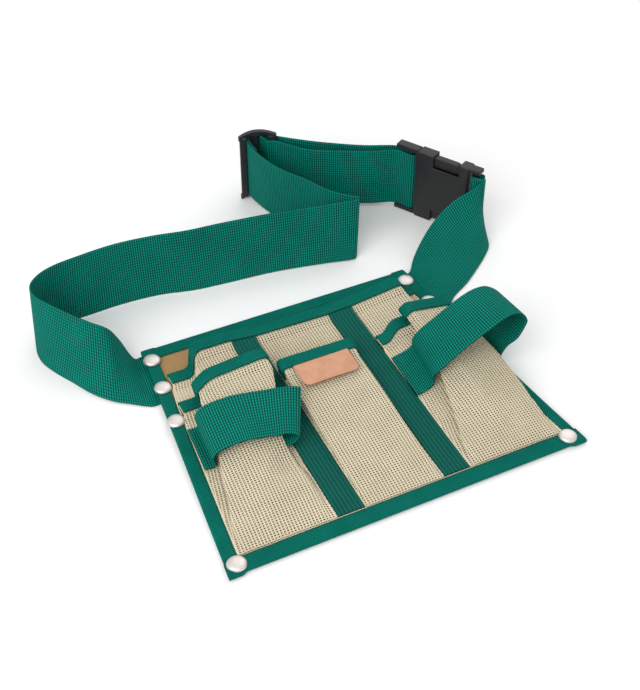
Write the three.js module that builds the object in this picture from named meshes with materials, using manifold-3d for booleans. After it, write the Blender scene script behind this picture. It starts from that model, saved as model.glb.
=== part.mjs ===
// Tool belt: a trapezoid panel with mesh pockets, two tool loops and a waist belt
// of webbing with a slider and a side release buckle. Units are millimetres, +Z is up.
// The belt lies on a flat surface: the panel is flat, the waist webbing stands on edge.

import * as THREE from 'three';
import { mergeVertices } from 'three/addons/utils/BufferGeometryUtils.js';
import Module from 'manifold-3d';

const wasm = await Module();
wasm.setup();

// Driving sizes
const CLEAR = 0.3;
const PANEL = { bottomWidth: 253, topWidth: 210.5, height: 207, wall: 1 };
const TAPE = { width: 12.8, wall: 1, mouthWidth: 10 };
const MESH_WALL = 1;
const THREAD_BOW = 0.25;
const STRIP = { width: 18.5, wall: 1.2, left: -39.9, right: 35.5 };
const WEB = { width: 50, wall: 1.5 };
const LOOP = { width: 38, wall: 1.5, rise: 50 };
const LABEL = { width: 41, height: 20, wall: 1.6, corner: 4.5, x: -4 };
const RIVET = { capRadius: 6, capHeight: 2.6, shankRadius: 1.8, sides: 16, aboveLoop: 1.3 };
const BACK_POCKET = { mouth: 185.5, rise: 11 };
const LEFT_POCKET = { mouth: 147, rise: 14.5 };
const CENTRE_POCKET = { mouth: 137, rise: 9.5 };
const RIGHT_POCKET = { mouth: 147, rise: 17 };
const BELT = { reachX: 175, reachY: 360, attachLow: 156, underPanel: 26 };
const FRAME_RAIL = 3.5;
const BUCKLE = {
  x: BELT.reachX * 0.838, y: BELT.reachY * 0.81, turn: -60.5, height: 60,
  endLength: 19.6, housingLength: 45, eyeLength: 9.2, barInset: 13.4, eyeInset: 4.7,
  frameDepth: 7.7, housingDepth: 10.5, wall: 1.6, bar: 3,
};
const PRONG = { width: 8.5, depth: 5.6, windowStart: 14.3, windowEnd: 36.8, tongue: 9 };
const SLIDER = {
  x: BELT.reachX * 0.2926, y: BELT.reachY * 0.9778, turn: -14.5,
  height: 58, length: 29, depth: 4, bow: 7, bar: 5, middleBar: 6,
};

// Colours, roughness and metalness
const GREEN = { color: 0x0c6e58, roughness: 0.75, metalness: 0 };
const CREAM = { color: 0xddd2b0, roughness: 0.85, metalness: 0 };
const TAN = { color: 0xa88658, roughness: 0.9, metalness: 0 };
const LEATHER = { color: 0xe0a07a, roughness: 0.6, metalness: 0 };
const PLASTIC = { color: 0x26262a, roughness: 0.5, metalness: 0 };
const NICKEL = { color: 0xd8ccc4, roughness: 0.3, metalness: 0.9 };

const toRadians = THREE.MathUtils.degToRad;
const lerp = THREE.MathUtils.lerp;
const smoothstep = THREE.MathUtils.smoothstep;
const point = (x, y, z) => new THREE.Vector3(x, y, z);

const beltGroup = new THREE.Group();

// Adds a named piece with its own material
function addPiece(name, geometry, look) {
  geometry.computeVertexNormals();
  const mesh = new THREE.Mesh(geometry, new THREE.MeshStandardMaterial(look));
  mesh.name = name;
  beltGroup.add(mesh);
  return mesh;
}

// Cap triangles of a flat ring with this outline
function outlineCap(outline) {
  const caps = THREE.ShapeUtils.triangulateShape(outline, []);
  const signedArea = (indices) => THREE.ShapeUtils.area(indices.map((index) => outline[index]));
  const capArea = caps.reduce((sum, face) => sum + signedArea(face), 0);
  const sameTurn = capArea * THREE.ShapeUtils.area(outline) > 0;
  return sameTurn ? caps : caps.map((face) => face.slice().reverse());
}

// Cap triangles of a ring whose second half runs back along its first
function bandCap(count) {
  const faces = [];
  for (let i = 0; i < count / 2 - 1; i += 1) {
    faces.push([i, i + 1, count - 2 - i], [i, count - 2 - i, count - 1 - i]);
  }
  return faces;
}

// Solid through rings of equal point counts, each ring closed, with capped ends.
// The second half of a ring is the underside, split the same way as the face above it.
function loft(rings, outline) {
  const count = rings[0].length;
  const positions = rings.flat().flatMap((point) => [point.x, point.y, point.z]);
  const triangles = [];
  for (let row = 0; row < rings.length - 1; row += 1) {
    for (let column = 0; column < count; column += 1) {
      const next = (column + 1) % count;
      const a = row * count + column;
      const b = row * count + next;
      const underside = column >= count / 2;
      if (underside) triangles.push(a, b, a + count, b, b + count, a + count);
      else triangles.push(a, b, b + count, a, b + count, a + count);
    }
  }
  const lastRing = (rings.length - 1) * count;
  for (const [a, b, c] of outline ? outlineCap(outline) : bandCap(count)) {
    triangles.push(a, c, b, lastRing + a, lastRing + b, lastRing + c);
  }
  return facingOut(positions, triangles);
}

// Geometry from points and triangles, turned so that its faces point out
function facingOut(positions, triangles) {
  let volume = 0;
  const corner = (index) => new THREE.Vector3().fromArray(positions, index * 3);
  for (let i = 0; i < triangles.length; i += 3) {
    const [a, b, c] = [corner(triangles[i]), corner(triangles[i + 1]), corner(triangles[i + 2])];
    volume += a.dot(b.cross(c));
  }
  const ordered = volume < 0 ? triangles.slice().reverse() : triangles;
  const geometry = new THREE.BufferGeometry();
  geometry.setAttribute('position', new THREE.Float32BufferAttribute(positions, 3));
  geometry.setIndex(ordered);
  return geometry;
}

// Booleans between closed geometries
function toSolid(geometry) {
  const bare = geometry.clone();
  bare.deleteAttribute('normal');
  bare.deleteAttribute('uv');
  const merged = mergeVertices(bare, 1e-4);
  const vertProperties = new Float32Array(merged.attributes.position.array);
  const triVerts = new Uint32Array(merged.index.array);
  return new wasm.Manifold(new wasm.Mesh({ numProp: 3, vertProperties, triVerts }));
}

function fromSolid(solid) {
  const mesh = solid.getMesh();
  const geometry = new THREE.BufferGeometry();
  geometry.setAttribute('position', new THREE.Float32BufferAttribute(mesh.vertProperties, 3));
  geometry.setIndex(Array.from(mesh.triVerts));
  return geometry;
}

function join(geometries) {
  return fromSolid(geometries.map(toSolid).reduce((all, solid) => all.add(solid)));
}

function cut(geometry, cutters) {
  return fromSolid(cutters.map(toSolid).reduce((rest, solid) => rest.subtract(solid), toSolid(geometry)));
}

// Axis aligned box between two corners
function block([x0, y0, z0], [x1, y1, z1]) {
  const box = new THREE.BoxGeometry(x1 - x0, y1 - y0, z1 - z0);
  return box.translate((x0 + x1) / 2, (y0 + y1) / 2, (z0 + z1) / 2);
}

// Panel outline and the height of what lies on it
const halfWidth = (y) => lerp(PANEL.bottomWidth, PANEL.topWidth, y / PANEL.height) / 2;
const LIFT = WEB.wall + CLEAR;
const lift = (y) => LIFT * smoothstep(y / PANEL.height, 0.15, 0.55);
const PANEL_FLOOR = TAPE.wall + CLEAR;
const PANEL_TOP = PANEL_FLOOR + PANEL.wall;
const TAPE_TOP = PANEL_TOP + CLEAR + TAPE.wall;
const innerEdge = (y) => halfWidth(y) - TAPE.width - CLEAR;
const FIRST_ROW = TAPE.width + CLEAR;

// Where the back pocket's cloth lies across the panel, as shares of half the panel's width
// and of the pocket's rise. Its two pleats are the steep steps near the sides.
const BACK_SECTION = [
  { across: -0.75, rise: 0 },
  { across: -0.73, rise: 1 },
  { across: -0.48, rise: 1 },
  { across: -0.26, rise: 0.72 },
  { across: 0.22, rise: 0.6 },
  { across: 0.44, rise: 0.72 },
  { across: 0.8, rise: 1.15 },
  { across: 0.83, rise: 0 },
];

// Height of the back pocket's outer face at a point of the panel
function backHeight(x, y) {
  const floor = PANEL_TOP + CLEAR + MESH_WALL + lift(y);
  const share = x / halfWidth(y);
  const grown = BACK_POCKET.rise * (Math.min(y, BACK_POCKET.mouth) / BACK_POCKET.mouth) ** 1.2;
  const last = BACK_SECTION.length - 1;
  if (share <= BACK_SECTION[0].across || share >= BACK_SECTION[last].across) return floor;
  const right = BACK_SECTION.findIndex((knot) => knot.across >= share);
  const a = BACK_SECTION[right - 1];
  const b = BACK_SECTION[right];
  const rise = lerp(a.rise, b.rise, (share - a.across) / (b.across - a.across));
  return floor + grown * rise;
}

const BEND_STEPS = 3;

// Rounds the corners of an open line of [x, z] points to one bend radius where there is room
function roundCorners(points, radius) {
  const corners = points.map(([x, z]) => new THREE.Vector2(x, z));
  const last = corners.length - 1;
  const reach = corners.map((corner, i) => {
    if (i === 0 || i === last) return 0;
    const before = corners[i - 1].clone().sub(corner);
    const after = corners[i + 1].clone().sub(corner);
    const half = Math.abs(before.angleTo(after)) / 2;
    return radius * Math.max(Math.cos(half) / Math.sin(half) ** 2, 1);
  });
  const bendStart = (i, j) => {
    const share = Math.min(1 / corners[i].distanceTo(corners[j]), 1 / (reach[i] + reach[j]));
    return corners[i].clone().lerp(corners[j], Math.min(reach[i] * share, 1) * 0.9);
  };
  const result = [corners[0]];
  for (let i = 1; i < last; i += 1) {
    const bend = new THREE.QuadraticBezierCurve(bendStart(i, i - 1), corners[i], bendStart(i, i + 1));
    result.push(...bend.getPoints(BEND_STEPS));
  }
  result.push(corners[last]);
  return result;
}

// Unit normal at each point of an open line, to the left of its direction
function lineNormals(line) {
  return line.map((point, i) => {
    const before = line[Math.max(i - 1, 0)];
    const after = line[Math.min(i + 1, line.length - 1)];
    const along = after.clone().sub(before).normalize();
    return new THREE.Vector2(-along.y, along.x);
  });
}

function offsetLine(line, distance) {
  const normals = lineNormals(line);
  return line.map((point, i) => point.clone().addScaledVector(normals[i], distance));
}

// Cloth from rows of [x, z] section lines of its outer face, one row at each y.
// Its threads bow a little towards the bottom in the middle of each row.
function cloth(rows, wall, radius) {
  const rings = rows.map(({ y, points }) => {
    const outer = roundCorners(points, radius);
    const inner = offsetLine(outer, -wall).reverse();
    const start = outer[0].x;
    const width = outer.at(-1).x - start;
    const bow = (x) => THREAD_BOW * Math.sin((Math.PI * (x - start)) / width);
    return [...outer, ...inner].map(({ x, y: height }) => new THREE.Vector3(x, y - bow(x), height));
  });
  return loft(rings);
}

// Tape folded over a pocket's mouth: a U section swept along the mouth's section line
function mouthTape(points, yMouth, radius) {
  const line = roundCorners(points, radius);
  const normals = lineNormals(line);
  const out = CLEAR + TAPE.wall;
  const under = -MESH_WALL - out;
  const yLow = yMouth - TAPE.mouthWidth;
  const yHigh = yMouth + out;
  const section = [
    [out, yLow], [out, yHigh], [under, yHigh], [under, yLow],
    [under + TAPE.wall, yLow], [under + TAPE.wall, yHigh - TAPE.wall],
    [CLEAR, yHigh - TAPE.wall], [CLEAR, yLow],
  ];
  const rings = line.map((point, i) => section.map(([offset, y]) => {
    const place = point.clone().addScaledVector(normals[i], offset);
    return new THREE.Vector3(place.x, y, place.y);
  }));
  return loft(rings, section.map(([offset, y]) => new THREE.Vector2(offset, y)));
}

// Rows of section lines up a pocket, the last two alike so that its tape sits square
const taperEnd = (yMouth) => yMouth - TAPE.mouthWidth - TAPE.wall;
const taperStart = (yMouth) => taperEnd(yMouth) - TAPE.mouthWidth / 2;
function pocketRows(shares, yMouth, lineAt) {
  const rows = shares.map((share) => {
    const y = lerp(FIRST_ROW, taperStart(yMouth), share);
    return { y, points: lineAt(share, y, 0) };
  });
  const mouthLine = lineAt(1, yMouth + MOUTH_RAISE, 1);
  return [...rows, { y: taperEnd(yMouth), points: mouthLine }, { y: yMouth, points: mouthLine }];
}

// Back panel, a flat trapezoid of cloth
const PANEL_ROWS = [0, 0.15, 0.25, 0.35, 0.45, 0.55, 1];
const PANEL_INSET = TAPE.wall + CLEAR;
function panelRing(y) {
  const half = halfWidth(y) - PANEL_INSET;
  const low = PANEL_FLOOR + lift(y);
  const high = PANEL_TOP + lift(y);
  return [[-half, low], [half, low], [half, high], [-half, high]];
}
function panelSolid() {
  const ys = PANEL_ROWS.map((share) => lerp(PANEL_INSET, PANEL.height - PANEL_INSET, share));
  const rings = ys.map((y) => panelRing(y).map(([x, z]) => new THREE.Vector3(x, y, z)));
  return loft(rings, panelRing(0).map(([x, z]) => new THREE.Vector2(x, z)));
}

// U section of the edge tape: depth in from the edge and height
const TAPE_SECTION = [
  [TAPE.width, 0], [0.5, 0], [0, 0.5], [0, TAPE_TOP - 0.5], [0.5, TAPE_TOP], [TAPE.width, TAPE_TOP],
  [TAPE.width, TAPE_TOP - TAPE.wall], [TAPE.wall, TAPE_TOP - TAPE.wall],
  [TAPE.wall, TAPE.wall], [TAPE.width, TAPE.wall],
];
const TAPE_OUTLINE = TAPE_SECTION.map(([depth, height]) => new THREE.Vector2(depth, height));

function sideTape(side) {
  const ys = PANEL_ROWS.map((share) => lerp(FIRST_ROW, PANEL.height - FIRST_ROW, share));
  const rings = ys.map((y) => TAPE_SECTION.map(([depth, height]) => (
    new THREE.Vector3(side * (halfWidth(y) - depth), y, height + lift(y)))));
  return loft(rings, TAPE_OUTLINE);
}

function endTape(yEdge, inward) {
  const rings = [-1, 1].map((side) => TAPE_SECTION.map(([depth, height]) => {
    const y = yEdge + inward * depth;
    return new THREE.Vector3(side * halfWidth(y), y, height + lift(yEdge));
  }));
  return loft(rings, TAPE_OUTLINE);
}

// Back pocket: its flat sides lie by the side tapes, pleats raise its front
function backLine(y, raise) {
  const half = halfWidth(y);
  const floor = PANEL_TOP + CLEAR + MESH_WALL + lift(y) + raise;
  const knots = BACK_SECTION.map(({ across }) => [across * half, backHeight(across * half, y) + raise]);
  return [[-innerEdge(y), floor], ...knots, [innerEdge(y), floor]];
}
const FOLD = 2.8;
const MOUTH_RAISE = CLEAR + TAPE.wall;

// Side and centre pockets, as shares from the bottom edge to the mouth.
// foldLeft and foldRight are where the raised front turns down, as shares of the flat width,
// with values past 0 or 1 hanging over; the heights are shares of the pocket's rise.
const LEFT_SHAPE = [
  { up: 0, foldLeft: 0.08, foldRight: 0.9, left: 0.03, middle: 0.03, right: 0.03 },
  { up: 0.14, foldLeft: 0.04, foldRight: 0.93, left: 0.2, middle: 0.34, right: 0.26 },
  { up: 0.36, foldLeft: 0.1, foldRight: 0.9, left: 0.42, middle: 0.66, right: 0.5 },
  { up: 0.6, foldLeft: 0.17, foldRight: 0.9, left: 0.65, middle: 0.9, right: 0.72 },
  { up: 0.8, foldLeft: 0.19, foldRight: 1.02, left: 0.85, middle: 1, right: 0.8 },
  { up: 1, foldLeft: 0.215, foldRight: 1.14, left: 0.88, middle: 1, right: 0.78 },
];
const CENTRE_SHAPE = [
  { up: 0, foldLeft: 0.08, foldRight: 0.92, left: 0.03, middle: 0.03, right: 0.03 },
  { up: 0.14, foldLeft: 0.01, foldRight: 0.96, left: 0.22, middle: 0.3, right: 0.28 },
  { up: 0.4, foldLeft: 0, foldRight: 0.95, left: 0.5, middle: 0.62, right: 0.6 },
  { up: 0.7, foldLeft: -0.01, foldRight: 0.95, left: 0.8, middle: 0.9, right: 0.85 },
  { up: 1, foldLeft: -0.02, foldRight: 0.95, left: 1, middle: 1, right: 0.98 },
];
const RIGHT_SHAPE = [
  { up: 0, foldLeft: 0.08, foldRight: 0.92, left: 0.03, middle: 0.03, right: 0.03 },
  { up: 0.14, foldLeft: 0.05, foldRight: 0.97, left: 0.22, middle: 0.36, right: 0.2 },
  { up: 0.36, foldLeft: 0.15, foldRight: 1.03, left: 0.45, middle: 0.72, right: 0.45 },
  { up: 0.6, foldLeft: 0.28, foldRight: 1.06, left: 0.62, middle: 0.95, right: 0.7 },
  { up: 0.8, foldLeft: 0.34, foldRight: 1.06, left: 0.72, middle: 1, right: 0.8 },
  { up: 1, foldLeft: 0.4, foldRight: 1.04, left: 0.74, middle: 1, right: 0.86 },
];

function shapeAt(table, up) {
  const right = Math.max(1, table.findIndex((row) => row.up >= up));
  const a = table[right - 1];
  const b = table[right];
  const share = (up - a.up) / (b.up - a.up);
  const names = ['foldLeft', 'foldRight', 'left', 'middle', 'right'];
  return Object.fromEntries(names.map((name) => [name, lerp(a[name], b[name], share)]));
}

function frontLine(table, rise, leftEdge, rightEdge) {
  return (up, y, atMouth) => {
    const shape = shapeAt(table, up);
    const xLeft = leftEdge(y);
    const xRight = rightEdge(y);
    const stack = CLEAR + MESH_WALL + atMouth * MOUTH_RAISE;
    const at = (share) => lerp(xLeft, xRight, share);
    const seat = (share) => backHeight(at(Math.min(Math.max(share, 0), 1)), y) + stack;
    const top = (share, height) => {
      const seats = lerp(seat(0), seat(1), Math.min(Math.max(share, 0), 1));
      return seats + rise * height;
    };
    const slant = 0.05 * (1 - up);
    const leftFoot = Math.max(shape.foldLeft - slant, 0.02);
    const rightFoot = shape.foldRight > 1 ? 0.95 : Math.min(shape.foldRight + slant + 0.01, 0.98);
    return [
      [xLeft, seat(0)],
      [at(leftFoot), seat(leftFoot)],
      [at(shape.foldLeft), top(shape.foldLeft, shape.left)],
      [at(0.5), top(0.5, shape.middle)],
      [at(shape.foldRight), top(shape.foldRight, shape.right)],
      [at(rightFoot), seat(rightFoot)],
      [xRight, seat(1)],
    ];
  };
}

const stripEdge = (centre, side) => () => centre + side * (STRIP.width / 2 + CLEAR);
const POCKETS = [
  {
    name: 'left_pocket', size: LEFT_POCKET, table: LEFT_SHAPE,
    left: (y) => -innerEdge(y), right: stripEdge(STRIP.left, -1),
  },
  {
    name: 'centre_pocket', size: CENTRE_POCKET, table: CENTRE_SHAPE,
    left: stripEdge(STRIP.left, 1), right: stripEdge(STRIP.right, -1),
  },
  {
    name: 'right_pocket', size: RIGHT_POCKET, table: RIGHT_SHAPE,
    left: stripEdge(STRIP.right, 1), right: (y) => innerEdge(y),
  },
];

// Ribbed strips between the pockets, from the back pocket's tape to the bottom tape
const STRIP_ROWS = [0, 0.1, 0.25, 0.4, 0.55, 0.7, 0.85, 1];
function stripSolid(centre) {
  const { mouth } = BACK_POCKET;
  const seatAt = (x, y) => backHeight(x, y) + CLEAR;
  const mouthSeat = (x) => seatAt(x, mouth + MOUTH_RAISE) + MOUTH_RAISE;
  const rows = [
    ...STRIP_ROWS.map((share) => ({ y: lerp(FIRST_ROW, taperStart(mouth), share), seat: seatAt })),
    { y: taperEnd(mouth), seat: mouthSeat },
    { y: mouth - TAPE.mouthWidth - CLEAR, seat: mouthSeat },
  ];
  const left = centre - STRIP.width / 2;
  const right = centre + STRIP.width / 2;
  const rings = rows.map(({ y, seat }) => {
    const [low, high] = [seat(left, y), seat(right, y)];
    return [
      point(left, y, low), point(right, y, high),
      point(right, y, high + STRIP.wall), point(left, y, low + STRIP.wall),
    ];
  });
  return loft(rings, rings[0].map(({ x, z }) => new THREE.Vector2(x, z)));
}

// Webbing from rows of its two edges, smoothed along its length
function band(rows, wall, stepsPerRow) {
  const lows = new THREE.CatmullRomCurve3(rows.map((row) => row.low), false, 'centripetal');
  const highs = new THREE.CatmullRomCurve3(rows.map((row) => row.high), false, 'centripetal');
  const steps = (rows.length - 1) * stepsPerRow;
  const stations = [];
  for (let step = 0; step <= steps; step += 1) {
    const low = lows.getPoint(step / steps);
    const high = highs.getPoint(step / steps);
    stations.push({ low, high, middle: low.clone().add(high).multiplyScalar(0.5) });
  }
  const rings = stations.map((station, i) => {
    const before = stations[Math.max(i - 1, 0)].middle;
    const after = stations[Math.min(i + 1, steps)].middle;
    const across = station.high.clone().sub(station.low);
    const out = after.clone().sub(before).cross(across).normalize().multiplyScalar(wall / 2);
    return [
      station.low.clone().sub(out), station.low.clone().add(out),
      station.high.clone().add(out), station.high.clone().sub(out),
    ];
  });
  const outline = [[0, 0], [wall, 0], [wall, 1], [0, 1]].map(([x, y]) => new THREE.Vector2(x, y));
  return loft(rings, outline);
}

// Waist webbing where it runs free: shares of the belt's reach and of the webbing's width
const LEFT_RUN = [
  { lowX: -0.734, lowY: 0.458, lowZ: 0.00, highX: -0.689, highY: 0.564, highZ: 0.32 },
  { lowX: -0.789, lowY: 0.479, lowZ: 0.00, highX: -0.731, highY: 0.567, highZ: 0.64 },
  { lowX: -0.849, lowY: 0.517, lowZ: 0.00, highX: -0.791, highY: 0.590, highZ: 0.86 },
  { lowX: -0.897, lowY: 0.563, lowZ: 0.00, highX: -0.851, highY: 0.622, highZ: 0.91 },
  { lowX: -0.942, lowY: 0.606, lowZ: 0.00, highX: -0.900, highY: 0.657, highZ: 0.93 },
  { lowX: -0.969, lowY: 0.644, lowZ: 0.00, highX: -0.934, highY: 0.692, highZ: 0.95 },
  { lowX: -0.966, lowY: 0.683, lowZ: 0.00, highX: -0.934, highY: 0.714, highZ: 0.96 },
  { lowX: -0.927, lowY: 0.717, lowZ: 0.00, highX: -0.897, highY: 0.733, highZ: 0.98 },
  { lowX: -0.857, lowY: 0.738, lowZ: 0.00, highX: -0.829, highY: 0.749, highZ: 0.98 },
  { lowX: -0.726, lowY: 0.740, lowZ: 0.00, highX: -0.697, highY: 0.761, highZ: 0.98 },
  { lowX: -0.560, lowY: 0.744, lowZ: 0.00, highX: -0.549, highY: 0.765, highZ: 0.98 },
  { lowX: -0.394, lowY: 0.738, lowZ: 0.00, highX: -0.389, highY: 0.757, highZ: 0.98 },
  { lowX: -0.251, lowY: 0.721, lowZ: 0.00, highX: -0.246, highY: 0.744, highZ: 0.98 },
  { lowX: -0.114, lowY: 0.713, lowZ: 0.00, highX: -0.109, highY: 0.738, highZ: 0.98 },
  { lowX: 0.109, lowY: 0.703, lowZ: 0.00, highX: 0.114, highY: 0.722, highZ: 0.98 },
  { lowX: 0.343, lowY: 0.681, lowZ: 0.00, highX: 0.349, highY: 0.701, highZ: 0.98 },
  { lowX: 0.458, lowY: 0.668, lowZ: 0.00, highX: 0.490, highY: 0.692, highZ: 0.98 },
  { lowX: 0.473, lowY: 0.669, lowZ: 0.00, highX: 0.507, highY: 0.692, highZ: 0.98 },
  { lowX: 0.479, lowY: 0.674, lowZ: 0.00, highX: 0.512, highY: 0.698, highZ: 0.98 },
  { lowX: 0.470, lowY: 0.679, lowZ: 0.00, highX: 0.502, highY: 0.703, highZ: 0.99 },
  { lowX: 0.417, lowY: 0.717, lowZ: 0.01, highX: 0.423, highY: 0.742, highZ: 1.01 },
  { lowX: 0.354, lowY: 0.786, lowZ: 0.02, highX: 0.357, highY: 0.804, highZ: 1.02 },
  { lowX: 0.297, lowY: 0.853, lowZ: 0.04, highX: 0.289, highY: 0.856, highZ: 1.04 },
  { lowX: 0.260, lowY: 0.905, lowZ: 0.07, highX: 0.252, highY: 0.908, highZ: 1.07 },
];
const RIGHT_RUN = [
  { lowX: 1.071, lowY: 0.617, lowZ: 0.02, highX: 1.036, highY: 0.626, highZ: 1.01 },
  { lowX: 1.051, lowY: 0.582, lowZ: 0.00, highX: 0.986, highY: 0.622, highZ: 0.93 },
  { lowX: 0.994, lowY: 0.553, lowZ: 0.00, highX: 0.920, highY: 0.625, highZ: 0.74 },
  { lowX: 0.914, lowY: 0.522, lowZ: 0.00, highX: 0.837, highY: 0.618, highZ: 0.52 },
  { lowX: 0.823, lowY: 0.490, lowZ: 0.00, highX: 0.757, highY: 0.603, highZ: 0.28 },
  { lowX: 0.726, lowY: 0.463, lowZ: 0.00, highX: 0.691, highY: 0.582, highZ: 0.08 },
];
const WEB_FLOOR = WEB.wall / 2;

// The two edges of webbing of a true width, from its first edge towards the second
function edges(low, towards, width) {
  const across = towards.clone().sub(low).setLength(width);
  return { low, high: low.clone().add(across) };
}
function runRow(row) {
  const low = point(row.lowX * BELT.reachX, row.lowY * BELT.reachY, WEB_FLOOR + row.lowZ * WEB.width);
  const high = point(row.highX * BELT.reachX, row.highY * BELT.reachY, WEB_FLOOR + row.highZ * WEB.width);
  return edges(low, high, WEB.width);
}

// The flat ends sewn under the panel's sides
function attachRows(side) {
  const outwards = [-BELT.underPanel, -BELT.underPanel / 2, 0, WEB.width / 10];
  const high = BELT.attachLow + WEB.width;
  return outwards.map((outward) => ({
    low: point(side * (halfWidth(BELT.attachLow) + outward), BELT.attachLow, WEB_FLOOR),
    high: point(side * (halfWidth(high) + outward), high, WEB_FLOOR),
  }));
}

// Upright webbing at a place of the slider's or buckle's own plan: along it and out to its front
const WEB_FOOT = FRAME_RAIL + CLEAR;
function planPoint(hardware, along, front) {
  const turn = toRadians(hardware.turn);
  const x = hardware.x + along * Math.cos(turn) + front * Math.sin(turn);
  const y = hardware.y + along * Math.sin(turn) - front * Math.cos(turn);
  return new THREE.Vector2(x, y);
}
function upright(place) {
  return { low: point(place.x, place.y, WEB_FOOT), high: point(place.x, place.y, WEB_FOOT + WEB.width) };
}
const at = (hardware, along, front) => upright(planPoint(hardware, along, front));

// Half turn or part of it round a bar, angles in degrees from the hardware's axis to its front
function wrap(hardware, centre, radius, fromAngle, toAngle) {
  const steps = 5;
  return Array.from({ length: steps + 1 }, (_, i) => {
    const angle = toRadians(lerp(fromAngle, toAngle, i / steps));
    return at(hardware, centre.along + radius * Math.cos(angle), centre.front + radius * Math.sin(angle));
  });
}

const PLY = WEB.wall + CLEAR;
const SLIDER_BAR = {
  along: -2, front: -SLIDER.bow, halfWidth: SLIDER.middleBar / 2, halfDepth: SLIDER.depth / 2,
};
const SLIDER_TURN = Math.hypot(SLIDER_BAR.halfWidth, SLIDER_BAR.halfDepth) + CLEAR + WEB.wall / 2;
const BAR_TURN = Math.hypot(BUCKLE.bar, BUCKLE.bar) / 2 + CLEAR + WEB.wall / 2;
const MALE_BAR = { along: BUCKLE.barInset, front: 0 };
const BUCKLE_LENGTH = BUCKLE.endLength + BUCKLE.housingLength + BUCKLE.eyeLength + CLEAR;
const FEMALE_BAR = { along: BUCKLE_LENGTH - BUCKLE.eyeInset, front: 0 };
const SLIDER_END = SLIDER.length / 2 - SLIDER.bar / 2;
const SLIDER_PASS = SLIDER.depth / 2 + CLEAR * 2 + WEB.wall / 2;
const SLIDER_SLOT = SLIDER_END - SLIDER.bar / 2 - CLEAR - WEB.wall / 2;

// The two layers between slider and buckle, as shares of the straight way between them
const FRONT_LAYER = [
  { along: 0.28, out: 0.085 }, { along: 0.44, out: 0.085 }, { along: 0.6, out: 0.07 }, { along: 0.82, out: 0.04 },
];
const BACK_LAYER = [
  { along: 0.23, out: 0.03 }, { along: 0.4, out: 0.04 }, { along: 0.7, out: 0.035 },
];
function between(start, finish, shares) {
  const way = finish.clone().sub(start);
  const side = new THREE.Vector2(way.y, -way.x);
  return shares.map(({ along, out }) => (
    upright(start.clone().addScaledVector(way, along).addScaledVector(side, out))));
}

function leftBeltRows() {
  const sliderBack = planPoint(SLIDER, SLIDER_END + SLIDER.bar / 2, -SLIDER_PASS);
  const sliderFront = planPoint(SLIDER, SLIDER_END, SLIDER_PASS);
  const buckleBack = planPoint(BUCKLE, 0, -BAR_TURN);
  const buckleFront = planPoint(BUCKLE, 0, BAR_TURN);
  const outerTurn = SLIDER_TURN + PLY;
  return [
    ...attachRows(-1),
    ...LEFT_RUN.map(runRow),
    at(SLIDER, SLIDER_BAR.along - outerTurn * 0.75, 8),
    at(SLIDER, SLIDER_BAR.along - outerTurn, 0),
    ...wrap(SLIDER, SLIDER_BAR, outerTurn, 180, 308),
    upright(sliderBack),
    ...between(sliderBack, buckleBack, BACK_LAYER),
    upright(buckleBack),
    ...wrap(BUCKLE, MALE_BAR, BAR_TURN, -90, 90),
    upright(buckleFront),
    ...between(sliderFront, buckleFront, FRONT_LAYER).reverse(),
    upright(sliderFront),
    at(SLIDER, SLIDER_SLOT, SLIDER_PASS),
    at(SLIDER, SLIDER_SLOT - WEB.wall, WEB.wall / 2),
    ...wrap(SLIDER, SLIDER_BAR, SLIDER_TURN, 320, 180),
    at(SLIDER, SLIDER_BAR.along - SLIDER_TURN, 0),
    at(SLIDER, SLIDER_BAR.along - SLIDER_TURN * 0.62, 9),
    at(SLIDER, SLIDER_BAR.along - SLIDER_TURN * 0.2, 15),
  ];
}

function rightBeltRows() {
  const tail = [
    at(BUCKLE, FEMALE_BAR.along + 9, BAR_TURN * 0.35),
    at(BUCKLE, FEMALE_BAR.along + 4, BAR_TURN * 0.8),
  ];
  return [
    ...tail,
    ...wrap(BUCKLE, FEMALE_BAR, BAR_TURN, 90, 270),
    at(BUCKLE, BUCKLE_LENGTH + CLEAR * 3, -BAR_TURN),
    ...RIGHT_RUN.map(runRow),
    ...attachRows(1).reverse(),
  ];
}

// Loops: the near and far edge of the webbing, in shares of the panel's half width, of the
// panel's height and of the loop's rise
const LEFT_LOOP = [
  { nearX: -0.826, nearY: 0.386, nearZ: 0.165, farX: -0.802, farY: 0.575, farZ: 0.165 },
  { nearX: -0.806, nearY: 0.384, nearZ: 0.165, farX: -0.783, farY: 0.573, farZ: 0.165 },
  { nearX: -0.798, nearY: 0.382, nearZ: 0.21, farX: -0.774, farY: 0.572, farZ: 0.23 },
  { nearX: -0.811, nearY: 0.38, nearZ: 0.31, farX: -0.787, farY: 0.572, farZ: 0.36 },
  { nearX: -0.789, nearY: 0.376, nearZ: 0.43, farX: -0.765, farY: 0.57, farZ: 0.51 },
  { nearX: -0.652, nearY: 0.366, nearZ: 0.525, farX: -0.62, farY: 0.565, farZ: 0.61 },
  { nearX: -0.522, nearY: 0.354, nearZ: 0.5, farX: -0.411, farY: 0.557, farZ: 0.61 },
  { nearX: -0.411, nearY: 0.343, nearZ: 0.465, farX: -0.265, farY: 0.541, farZ: 0.605 },
  { nearX: -0.376, nearY: 0.337, nearZ: 0.4, farX: -0.213, farY: 0.532, farZ: 0.57 },
  { nearX: -0.384, nearY: 0.338, nearZ: 0.33, farX: -0.248, farY: 0.536, farZ: 0.51 },
  { nearX: -0.374, nearY: 0.34, nearZ: 0.29, farX: -0.3, farY: 0.541, farZ: 0.39 },
  { nearX: -0.33, nearY: 0.342, nearZ: 0.275, farX: -0.34, farY: 0.543, farZ: 0.34 },
];
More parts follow.
